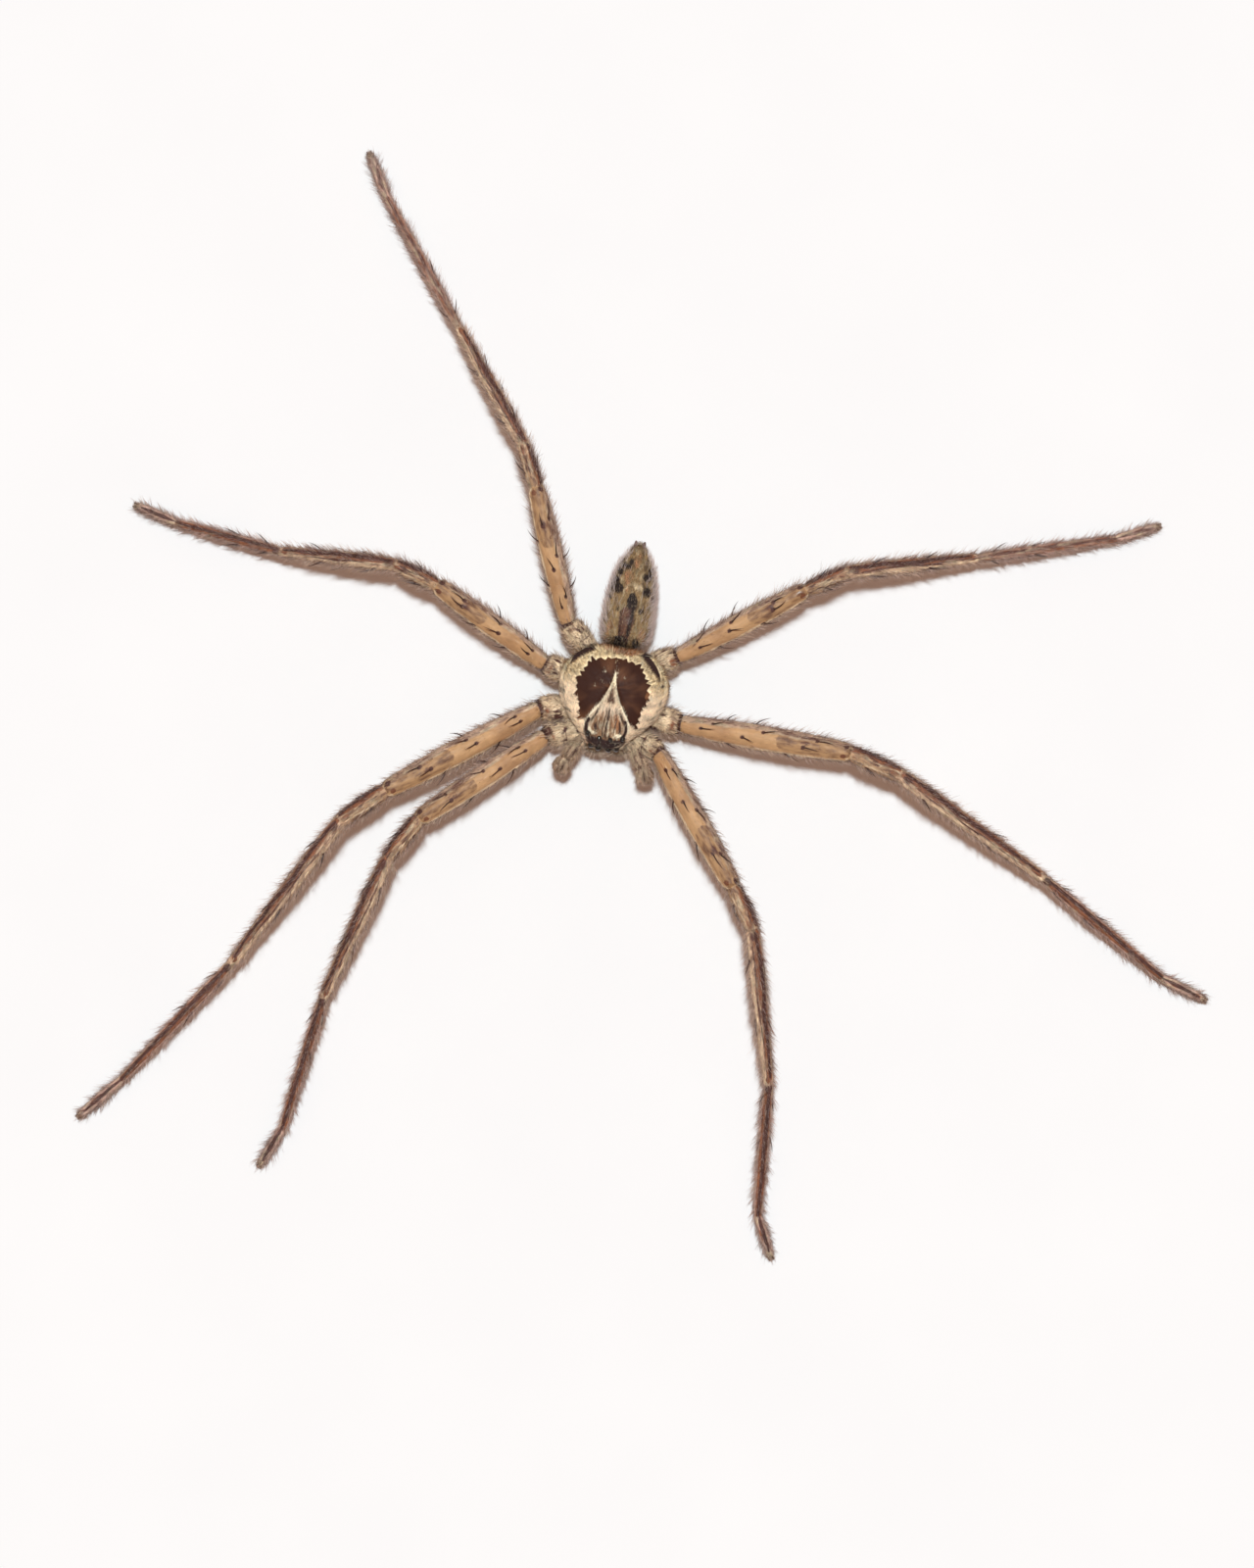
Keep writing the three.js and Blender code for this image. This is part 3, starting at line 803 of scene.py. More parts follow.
def fresh_material(name: str) -> tuple[Material, Nodes, bpy.types.NodeInputs]:
    """A new material with its nodes and the inputs of its shader."""
    material = bpy.data.materials.new(name)
    material.use_nodes = True
    return material, Nodes(material.node_tree), material.node_tree.nodes["Principled BSDF"].inputs


COLOUR = "NodeSocketColor"
NUMBER = "NodeSocketFloat"

# Waves to the millimetre along and across the grain, the bands in which marks, locks and clouds rise, and the
# darkest tone.
COARSE_PACE = (0.9, 1.7)
LOCK_PACE = (0.9, 3.4)
FINE_PACE = (2.2, 9.0)
CLOUD_PACE = (0.4, 0.55)
MARK_EDGE = (0.25, 0.75)
DARK_LOCKS = (0.52, 0.63)
PALE_LOCKS = (0.46, 0.35)
CLOUDS = (0.42, 0.7)
DARKEST = 0.22


def markings_group() -> None:
    """The painted markings with broken edges and fine streaks along the grain, and how bare the shell is."""
    colours = dict.fromkeys(("Base", "Pale", "Rust", "Dark", "Shell"), COLOUR)
    amounts = dict.fromkeys(("Fray", "Mottle", "Speckle"), NUMBER)
    results = {"Color": COLOUR, "Bare": NUMBER, "Height": NUMBER}
    nodes, given, out = group("Markings", colours | amounts, results)
    grain = nodes.attribute("grain", "Vector")
    coarse, locks, fine = (nodes.streaks(grain, pace) for pace in (COARSE_PACE, LOCK_PACE, FINE_PACE))
    both = nodes.math("ADD", nodes.math("MULTIPLY", coarse, 0.45), nodes.math("MULTIPLY", locks, 0.55))
    fray = nodes.contrast(both, given["Fray"])
    edge = nodes.math("MULTIPLY_ADD", nodes.contrast(locks, 0.3), given["Fray"], nodes.attribute("bare"))
    bare = nodes.smooth(edge, *MARK_EDGE)
    furred = nodes.math("MULTIPLY_ADD", bare, -0.72, 1.0)
    lively = nodes.math("MULTIPLY", given["Speckle"], nodes.math("SUBTRACT", 1.0, bare))
    clouds = nodes.smooth(nodes.streaks(grain, CLOUD_PACE), *CLOUDS)
    shell = nodes.mix(nodes.math("MULTIPLY", clouds, 0.3), given["Shell"], given["Rust"])
    colour = nodes.mix(bare, given["Base"], shell)
    for paint, band in (("Dark", DARK_LOCKS), ("Pale", PALE_LOCKS)):
        colour = nodes.mix(nodes.math("MULTIPLY", nodes.smooth(locks, *band), lively), colour, given[paint])
    for paint in ("Rust", "Pale", "Dark"):
        cover = nodes.smooth(nodes.math("ADD", nodes.attribute(paint.lower()), fray), *MARK_EDGE)
        colour = nodes.mix(cover, colour, given[paint])
    swing = nodes.math("ADD", nodes.contrast(both, given["Mottle"]), nodes.contrast(fine, 0.22))
    tone = nodes.math("MAXIMUM", nodes.math("MULTIPLY_ADD", swing, furred, 1.0), DARKEST)
    ridges = nodes.math("ADD", nodes.math("MULTIPLY", locks, 0.6), nodes.math("MULTIPLY", fine, 0.5))
    nodes.link(nodes.mix(1.0, colour, nodes.grey(tone), "MULTIPLY"), out["Color"])
    nodes.link(bare, out["Bare"])
    nodes.link(nodes.math("MULTIPLY", ridges, furred), out["Height"])


# Waves to the metre of a skin's grit and of its slick places, and the band in which those rise.
GRIT_PACE = 4200.0
SLICK_PACE = 260.0
SLICK_BAND = (0.56, 0.62)

# Which hairs are pale or dark, by their shade, and how much.
PALE_HAIRS = ((0.86, 0.9), 0.45)
DARK_HAIRS = ((0.12, 0.08), 0.4)


@dataclass(frozen=True)
class SkinFinish:
    """The finish of a skin: its colours from base to shell, its gloss and how deep its nap is."""

    name: str
    stops: tuple[tuple[float, Colour], ...]
    pale: Colour
    rust: Colour
    dark: Colour
    shell: Colour
    fray: float = 0.6
    mottle: float = 0.5
    speckle: float = 0.5
    roughness: float = 0.62
    shell_roughness: float = 0.6
    slick: float = 0.3
    fuzz: Colour = (0.6, 0.46, 0.42)
    gloss: float = 0.4
    nap: float = 0.08

    def base(self, nodes: Nodes) -> Feed:
        """The ground colour, which changes along the piece by its painted zone."""
        band = nodes.add("ShaderNodeValToRGB", {"Fac": nodes.attribute("zone")})
        elements = band.color_ramp.elements
        while len(elements) < len(self.stops):
            elements.new(0.5)
        for element, (place, _) in zip(elements, self.stops):
            element.position = place
        for element, (_, colour) in zip(elements, self.stops):
            element.color = shown(colour)
        return band.outputs["Color"]

    def markings(self, nodes: Nodes) -> bpy.types.Node:
        """The shared group with this finish's own values."""
        marks = nodes.add("ShaderNodeGroup", node_tree=bpy.data.node_groups["Markings"])
        for name in ("pale", "rust", "dark", "shell", "fray", "mottle", "speckle"):
            marks.inputs[name.title()].default_value = shown(getattr(self, name))
        nodes.link(self.base(nodes), marks.inputs["Base"])
        return marks

    def skin(self) -> Material:
        """The material of the skin itself, with slick places on the bare shell."""
        material, nodes, shader = fresh_material(self.name)
        marks = self.markings(nodes)
        place = nodes.place()
        grit = nodes.noise(place, GRIT_PACE, 3.0)
        slick = nodes.smooth(nodes.noise(place, SLICK_PACE, 2.0), *SLICK_BAND)
        matt = nodes.math("MULTIPLY_ADD", nodes.math("SUBTRACT", grit, 0.5), 0.5, self.shell_roughness)
        shell = nodes.math("MULTIPLY_ADD", slick, self.slick - self.shell_roughness, matt)
        height = nodes.math("MULTIPLY_ADD", grit, 0.25, marks.outputs["Height"])
        bump = nodes.add("ShaderNodeBump", {"Height": height, "Strength": 0.7, "Distance": self.nap * MM})
        nodes.link(marks.outputs["Color"], shader["Base Color"])
        nodes.link(nodes.between(marks.outputs["Bare"], self.roughness, shell), shader["Roughness"])
        nodes.link(bump.outputs["Normal"], shader["Normal"])
        shader["IOR"].default_value = 1.5
        shader["Specular IOR Level"].default_value = self.gloss
        return material

    def coat(self) -> Material:
        """The material of the hair that grows on the skin, with the same markings and some odd hairs."""
        material, nodes, shader = fresh_material(self.name + "_hair")
        colour = self.markings(nodes).outputs["Color"]
        shade = nodes.attribute("shade")
        for (band, share), odd in ((PALE_HAIRS, self.pale), (DARK_HAIRS, self.dark)):
            colour = nodes.mix(nodes.math("MULTIPLY", nodes.smooth(shade, *band), share), colour, odd)
        colour = nodes.mix(nodes.attribute("fade"), colour, self.fuzz)
        root = nodes.math("MULTIPLY_ADD", nodes.attribute("tip"), 0.35, 0.85)
        draw = nodes.math("FRACT", nodes.math("MULTIPLY", shade, 7.0))
        spread = nodes.math("MULTIPLY_ADD", draw, 0.5, 0.78)
        tone = nodes.grey(nodes.math("MULTIPLY", root, spread))
        nodes.link(nodes.mix(1.0, colour, tone, "MULTIPLY"), shader["Base Color"])
        shader["Roughness"].default_value = 0.5
        return material


@dataclass(frozen=True)
class HornFinish:
    """Hard dark horn, darker and redder from place to place."""

    name: str
    dark: Colour
    light: Colour
    roughness: float = 0.3
    grain: float = 900.0

    def material(self) -> Material:
        """The material of spines, claws, fangs and spinnerets."""
        material, nodes, shader = fresh_material(self.name)
        noise = nodes.noise(nodes.place(), self.grain, 4.0)
        rough = nodes.between(noise, self.roughness * 0.7, self.roughness * 1.3)
        nodes.link(nodes.mix(nodes.smooth(noise, 0.35, 0.7), self.dark, self.light), shader["Base Color"])
        nodes.link(rough, shader["Roughness"])
        return material


BODY_FINISH = SkinFinish(
    "carapace_cuticle",
    stops=(
        (0.0, (0.33, 0.185, 0.1)),
        (0.35, (1.0, 0.76, 0.55)),
        (0.7, (1.0, 0.76, 0.49)),
        (1.0, (1.0, 0.79, 0.47)),
    ),
    pale=(0.95, 0.83, 0.6), rust=(0.42, 0.18, 0.08), dark=(0.04, 0.02, 0.018),
    shell=(0.045, 0.016, 0.01), fray=0.16, mottle=0.52, speckle=0.5, fuzz=(0.9, 0.74, 0.54),
    gloss=0.12,
)
ABDOMEN_FINISH = SkinFinish(
    "abdomen_cuticle",
    stops=((0.0, (0.68, 0.54, 0.46)), (0.3, (0.38, 0.26, 0.14)), (1.0, (0.31, 0.19, 0.085))),
    pale=(0.6, 0.46, 0.28), rust=(0.42, 0.2, 0.1), dark=(0.03, 0.018, 0.015),
    shell=(0.1, 0.042, 0.03), fray=0.26, mottle=0.72, speckle=0.66, fuzz=(0.74, 0.6, 0.56),
    gloss=0.15,
)
LEG_FLANK = (0.5, 0.33, 0.23)
LEG_PATELLA = (0.46, 0.28, 0.16)
LEG_TIBIA = (0.62, 0.41, 0.27)
LEG_METATARSUS = (0.58, 0.36, 0.28)
LEG_FINISH = SkinFinish(
    "leg_cuticle",
    stops=(
        (0.0, (0.76, 0.57, 0.37)), (0.16, (0.72, 0.53, 0.34)), (0.18, LEG_FLANK), (0.3, LEG_FLANK),
        (0.335, LEG_PATELLA), (0.45, LEG_PATELLA), (0.52, LEG_TIBIA), (0.66, LEG_TIBIA),
        (0.7, LEG_METATARSUS), (0.86, LEG_METATARSUS), (1.0, (0.56, 0.39, 0.31)),
    ),
    pale=(0.78, 0.6, 0.39), rust=(0.23, 0.085, 0.04), dark=(0.08, 0.03, 0.022),
    shell=(0.55, 0.32, 0.155), fray=0.3, mottle=0.7, speckle=0.7, slick=0.14,
    fuzz=(0.5, 0.36, 0.32), gloss=0.34,
)
# The jaws' own brown, darkened all over as painted shade for the shade under the carapace's front edge.
SHADED_FACE_FINISH = SkinFinish(
    "jaw_shaded_cuticle",
    stops=((0.0, (0.32, 0.22, 0.13)), (1.0, (0.28, 0.19, 0.12))),
    pale=(0.55, 0.42, 0.28), rust=(0.35, 0.16, 0.09), dark=(0.07, 0.04, 0.035),
    shell=(0.09, 0.04, 0.03), mottle=0.6, speckle=0.6, fuzz=(0.84, 0.68, 0.52),
)
SPINE_FINISH = HornFinish("spine_horn", (0.025, 0.014, 0.012), (0.085, 0.035, 0.022), 0.35)
SPINNERET_FINISH = HornFinish("spinneret_cuticle", (0.12, 0.07, 0.06), (0.3, 0.2, 0.17), 0.7)
FANG_FINISH = HornFinish("fang_horn", (0.02, 0.008, 0.006), (0.12, 0.03, 0.015), 0.18)


@dataclass(frozen=True)
class EyeFinish:
    """A wet black lens with a faint green-brown depth."""

    name: str = "eye_lens"
    deep: Colour = (0.006, 0.006, 0.005)
    glint: Colour = (0.02, 0.016, 0.014)
    grain: float = 2500.0
    wetness: tuple[tuple[str, float], ...] = (
        ("Roughness", 0.06),
        ("Coat Weight", 0.6),
        ("Coat Roughness", 0.03),
    )

    def material(self) -> Material:
        """The lens's material."""
        material, nodes, shader = fresh_material(self.name)
        depth = nodes.noise(nodes.place(), self.grain, 2.0)
        nodes.link(nodes.mix(depth, self.deep, self.glint), shader["Base Color"])
        for name, value in self.wetness:
            shader[name].default_value = value
        return material


# Front body

CARAPACE_NAP = Pile(19000, 1, length=0.28, width=0.05, lift=12)
RIM_FRINGE = Pile(2600, 2, length=0.6, width=0.045, lift=20, joints=2, sway=18, bend=0.4)
CORE_NAP = Pile(6000, 3, length=0.35, width=0.05, lift=18)
HEAD_BRISTLES = Pile(160, 4, length=0.7, width=0.03, lift=40, joints=3, sway=25, bend=0.5)
WAIST_HAIR = Pile(1300, 5, length=0.8, width=0.05, lift=14, joints=2, sway=16, bend=0.5)
BROW_HAIR = Pile(300, 6, length=0.26, width=0.04, lift=40, sway=40, fade=0.3)


@dataclass
class FrontBody:
    """The carapace, the core under it and the eyes, in a frame of their own turned on the spider's."""

    stations: Table = (
        (-4.15, 1.25, 4.95), (-3.75, 1.55, 5.3), (-3.1, 1.95, 5.6), (-2.2, 2.8, 5.85), (-1.2, 3.6, 6.0),
        (0.0, 4.1, 6.1), (1.2, 4.2, 6.15), (2.3, 3.85, 5.95), (3.2, 3.15, 5.5), (3.68, 2.4, 5.05),
        (3.92, 1.35, 4.65),
    )
    rim: float = 4.25
    underside: float = 0.2
    coat: float = 0.08
    rows: int = 190
    top_sides: int = 240
    under_sides: int = 72
    lens: float = 0.84
    core_half: float = 1.5
    core_length: float = 3.2
    core_y: float = -0.05
    core_levels: Table = (
        (1.9, 0.0), (1.9, 0.7), (2.0, 0.84), (2.3, 0.97), (3.4, 1.0), (4.4, 0.96),
    )
    core_rows: int = 26
    core_sides: int = 56
    rounding: tuple[float, float] = (0.3, 0.22)
    hub: float = 0.6
    groove: float = 1.3
    groove_depth: float = 0.13
    furrows: int = 7
    furrow_depth: float = 0.045
    neck_depth: float = 0.1
    lid_gap: float = 0.06
    eyes: tuple[tuple[str, float, float, float, float], ...] = (
        ("front_median", 0.42, -4.1, 4.62, 0.25),
        ("front_lateral", 1.02, -3.92, 4.6, 0.3),
        ("rear_median", 0.44, -3.3, 0.0, 0.23),
        ("rear_lateral", 1.38, -3.05, 0.0, 0.28),
    )

    def profile(self, y: Array) -> tuple[Array, Array]:
        """The half width and height of the back at places along the carapace."""
        table = np.array(self.stations)
        half = spline(y, table[:, 0], table[:, 1])
        top = spline(y, table[:, 0], table[:, 2])
        return half - self.coat, top - self.coat

    def relief(self, x: Array, y: Array) -> Array:
        """How far the back is raised or sunk: the groove at its top, the furrows from it and the head."""
        groove = -self.groove_depth * bell(x, 0.0, 0.14) * bell(y, 1.6, 0.6)
        reach, bearing = np.hypot(x, y - self.groove), np.arctan2(x, y - self.groove)
        swell = (0.5 + 0.5 * np.cos(bearing * self.furrows)) ** 3
        rays = -self.furrow_depth * swell * bell(reach, 2.0, 0.8)
        edge = np.abs(x) - np.interp(y, [-2.8, 1.2], [1.75, 0.1])
        neck = -self.neck_depth * bell(edge, 0.0, 0.16) * (y < 1.2) * ramp(y, -3.2, 0.8)
        return groove + rays + neck

    def height(self, x: float, y: float) -> float:
        """The height of the back over a point in plan."""
        half, top = self.profile(np.array([y]))
        return float(self.rim + (top[0] - self.rim) * math.sqrt(max(0.0, 1 - (x / half[0]) ** 2)))

    def angles(self) -> Array:
        """Angles round a ring from its left edge, closer together over the back than below it."""
        over = np.linspace(0, math.pi, self.top_sides, endpoint=False)
        under = np.linspace(math.pi, 2 * math.pi, self.under_sides, endpoint=False)
        return np.concatenate([over, under])

    def carapace(self) -> Sleeve:
        """The carapace's skin, from its front edge to its hind one."""
        first, last = self.stations[0][0] + self.coat / 2, self.stations[-1][0] - self.coat / 2
        even = np.linspace(0, 1, self.rows)
        t = (1 - np.cos(np.linspace(0, math.pi, self.rows))) / 2
        y = first + (last - first) * (0.5 * t + 0.5 * even)
        half, top = self.profile(y)
        end = np.minimum(y - first, last - y)
        close, close_up = (rounded(end, radius) for radius in self.rounding)
        across, rise = np.cos(self.angles())[None], np.sin(self.angles())[None]
        x = across * (half * (0.25 + 0.75 * close) * (close > 0))[:, None]
        over, under = (top - self.rim) * close_up, self.underside * close_up
        depth = np.where(rise > 0, over[:, None], under[:, None])
        wide = np.broadcast_to(y[:, None], x.shape)
        z = self.rim + rise * depth + self.relief(x, wide) * np.clip(rise * 3, 0, 1) * close_up[:, None]
        rings = np.stack([x, wide, z], axis=-1)
        rings[0], rings[-1] = rings[0].mean(0), rings[-1].mean(0)
        lie = turned(self.hair_lie(x, wide), CARAPACE_TURN)
        paint = self.painted(x, wide, rise > 0.02)
        return Sleeve("skin_carapace", turned(rings, CARAPACE_TURN), paint, lie, grain=self.grain(rings))

    def grain(self, rings: Array) -> Array:
        """Streaks run out from the hub, and down the sides."""
        x, y = rings[..., 0], rings[..., 1] - self.hub
        bearing = np.arctan2(x, y)
        grain = np.stack([np.hypot(x, y), 2.2 * np.cos(bearing), 2.2 * np.sin(bearing)], axis=-1)
        grain[..., 1:] += 0.3 * rings[..., 2:]
        return grain

    def hair_lie(self, x: Array, y: Array) -> Array:
        """Hair lies back along the sides and spreads from the hub at the rear."""
        level = np.zeros_like(x)
        radial = np.stack([x, y - self.hub, level], axis=-1)
        back = np.stack([0.15 * np.sign(x), np.ones_like(x), level], axis=-1)
        share = ramp(y, 0.4, 1.6)[..., None]
        return unit(unit(radial) * share + back * (1 - share) + 1e-6)

    def painted(self, x: Array, y: Array, above: Array) -> Fields:
        """The markings of the back and a few painted highlights on its dark patches, drawn in plan."""
        flat = np.stack([x, y], axis=-1)
        shade = {name: inked(flat, marks) * above for name, marks in CARAPACE_MARKS.items()}
        shade["bare"] = inked(flat, CARAPACE_SHELL, 0.08) * above
        head = ramp(y, -0.6, -1.2) * ramp(np.abs(x), 1.7, -0.5)
        shade["zone"] = np.clip(0.5 - 0.5 * head + 0.5 * ramp(y, 0.2, 1.3), 0, 1) * above
        shade["pale"] = np.maximum(shade["pale"], 0.95 * ramp(y, -4.09, -0.04))
        return shade

    def core(self) -> Sleeve:
        """The core's skin, with the sternum at its foot."""
        levels = np.array(self.core_levels)
        place, knots = np.linspace(0, 1, self.core_rows), np.linspace(0, 1, len(levels))
        z, share = spline(place, knots, levels[:, 0]), spline(place, knots, levels[:, 1])
        share[0] = 0
        angle = ring_angles(self.core_sides)[None]
        x = np.cos(angle) * (self.core_half - self.coat) * share[:, None]
        y = self.core_y + np.sin(angle) * (self.core_length - self.coat) * share[:, None]
        rings = np.stack([x, y, np.broadcast_to(z[:, None], x.shape) + self.coat * 0.5], axis=-1)
        rings[-1] = rings[-1].mean(0)
        paint = {"zone": np.full(x.shape, 0.4), "dark": 0.35 * np.clip(1 - np.hypot(x, y / 2.2), 0, 1)}
        return Sleeve("skin_sternum", rings, paint)

    def eye_places(self) -> list[tuple[str, Array, float]]:
        """Each eye's name, centre and radius."""
        places = []
        for name, x, y, z, radius in self.eyes:
            for side in Side:
                height = z or self.height(x, y) + self.coat
                centre = turned(np.array([side.value * x, y, height]), CARAPACE_TURN)
                places.append((f"{name}_{side.word}", centre, radius))
        return places

    def build_eyes(self, wear: Wear) -> None:
        """A round lens on each packed eye's place."""
        for name, centre, radius in self.eye_places():
            bm = bmesh.new()
            place = Matrix.Translation(Vector(in_row(centre)))
            size = radius * self.lens * MM
            bmesh.ops.create_uvsphere(bm, u_segments=24, v_segments=16, radius=size, matrix=place)
            dress(f"lens_{name}", finished(name, bm), wear, [f"eye_{name}"])

    def growth(self, skin: Sleeve) -> list[tuple[Pile, Array]]:
        """Each kind of hair on the carapace and how thickly it stands."""
        x, y = skin.rings[..., 0], skin.rings[..., 1]
        rise = np.broadcast_to(np.sin(self.angles()), x.shape)
        steep = np.abs(rise)
        shell = np.clip(skin.paint["bare"] * 1.6, 0, 1) * (1 - skin.paint["pale"])
        thick = (1 - shell) * (0.25 + 0.75 * (rise > -0.1)) * self.clear_of_eyes(skin.rings)
        face = ramp(y, -0.9, -0.5) * ramp(np.abs(x), 1.9, -0.3)
        waist = ramp(y, 3.4, 0.3) * ramp(np.abs(x - 0.2), 2.1, -0.5) * (rise > -0.3)
        return [
            (CARAPACE_NAP, thick * (1 - 0.65 * face)),
            (RIM_FRINGE, thick * (steep < 0.3) * ramp(y, -3.6, 0.4) + NEVER_BARE),
            (HEAD_BRISTLES, thick * ramp(y, -2.6, -0.6) + NEVER_BARE),
            (WAIST_HAIR, waist + NEVER_BARE),
            (BROW_HAIR, thick * ramp(y, -3.75, -0.2) * (steep < 0.8) + NEVER_BARE),
        ]

    def build(self, finish: SkinFinish) -> None:
        """Builds the carapace, core, eyes and their hair."""
        skin, hair = Wear(finish.skin(), "carapace"), Wear(finish.coat(), "carapace")
        carapace, core = self.carapace(), self.core()
        carapace.build(skin, ["cephalothorax"])
        core.build(skin, [])
        self.build_eyes(Wear(EyeFinish().material(), "eye"))
        tufts = Tufts()
        for pile, thick in self.growth(carapace):
            tufts.plant(carapace, pile, thick, shelf=(0.0, 0.78))
        tufts.plant(core, CORE_NAP, np.ones(core.rings.shape[:2]), shelf=(0.8, 1.0))
        tufts.build("coat_front_body", hair)

    def clear_of_eyes(self, rings: Array) -> Array:
        """1 where hair may root and 0 on and right beside an eye."""
        clear = np.ones(rings.shape[:2])
        for _, centre, radius in self.eye_places():
            clear *= np.linalg.norm(rings - centre, axis=-1) > radius + self.lid_gap
        return clear


def mirrored(points: Table) -> Table:
    """Points of the plan on the other side of the middle line."""
    return tuple((-x, y) for x, y in points)


PATCH_LEFT = (
    (0.0, 2.6), (0.06, 2.82), (0.3, 3.14), (0.6, 3.12), (0.95, 2.98), (1.3, 2.98), (1.66, 2.86), (1.92, 2.66),
    (2.13, 2.42), (2.3, 2.15), (2.45, 1.88), (2.6, 1.55), (2.7, 1.2), (2.8, 0.9), (2.92, 0.55), (2.9, 0.2),
    (2.78, -0.15), (2.58, -0.5), (2.5, -0.9), (2.44, -1.3), (2.33, -1.75), (2.18, -2.2), (1.95, -2.12),
    (1.72, -1.84), (1.4, -1.5), (1.07, -1.1), (0.8, -0.62), (0.6, -0.2), (0.4, 0.25), (0.26, 0.7),
    (0.16, 1.16), (0.07, 1.62), (0.0, 1.95),
)
PATCH_RIGHT = (
    (0.0, 2.6), (-0.2, 2.92), (-0.55, 3.09), (-0.9, 2.98), (-1.2, 2.87), (-1.6, 2.84), (-1.97, 2.72),
    (-2.2, 2.5), (-2.38, 2.22), (-2.47, 1.95), (-2.57, 1.64), (-2.75, 1.32), (-2.9, 1.0), (-2.94, 0.62),
    (-2.9, 0.28), (-2.8, -0.05), (-2.68, -0.4), (-2.54, -0.8), (-2.44, -1.2), (-2.36, -1.6), (-2.24, -1.98),
    (-1.8, -2.24), (-1.6, -1.75), (-1.31, -1.22), (-1.05, -0.85), (-0.82, -0.5), (-0.62, -0.1),
    (-0.44, 0.36), (-0.3, 0.75), (-0.18, 1.15), (-0.08, 1.65), (0.0, 1.95),
)
ARM = (
    (0.0, 1.84), (0.06, 1.13), (0.22, 0.54), (0.43, 0.01), (0.74, -0.55), (1.12, -1.08), (1.45, -1.57),
    (1.7, -2.05), (1.74, -2.6),
)
CRESCENT_LEFT = ((1.4, 3.82), (1.95, 3.64), (2.42, 3.28), (2.88, 2.8), (3.26, 2.32), (3.46, 1.95))
CRESCENT_RIGHT = ((-3.6, 2.15), (-3.38, 2.58), (-3.0, 3.02), (-2.42, 3.45), (-1.9, 3.68), (-1.2, 3.84))
SIDE_LINE = ((3.9, 0.4), (3.75, -0.5), (3.42, -1.2), (2.9, -2.0), (2.25, -2.75), (1.75, -3.2))
EYE_BAND = (
    (-1.55, -2.9), (-1.2, -3.2), (-0.7, -3.3), (0.0, -3.36), (0.6, -3.3), (1.1, -3.2), (1.55, -2.8),
    (1.66, -3.2), (1.4, -3.6), (0.85, -3.95), (0.3, -4.12), (-0.3, -4.12), (-0.8, -3.95), (-1.3, -3.7),
    (-1.62, -3.3),
)
BROW = (
    (-1.45, -3.6), (-0.9, -3.93), (-0.3, -4.09), (0.36, -4.12), (0.85, -3.95), (1.25, -3.78), (1.6, -3.3),
)
APEX = (
    (-0.08, 0.9), (0.1, 0.5), (0.16, 0.05), (0.41, -0.5), (0.0, -0.64), (-0.39, -0.6), (-0.25, 0.0),
    (-0.2, 0.5),
)
CRESCENTS = [Stroke(line, 0.27, thin=0.35) for line in (CRESCENT_LEFT, CRESCENT_RIGHT)]
CARAPACE_SHELL: Marks = [
    Blot(PATCH_LEFT, 1.0, 0.29, 0.5, 0.6),
    Blot(PATCH_RIGHT, 1.0, 0.29, 0.53, 0.6),
    Spot((0.0, 2.66), (0.14, 0.3)),
    *CRESCENTS,
]
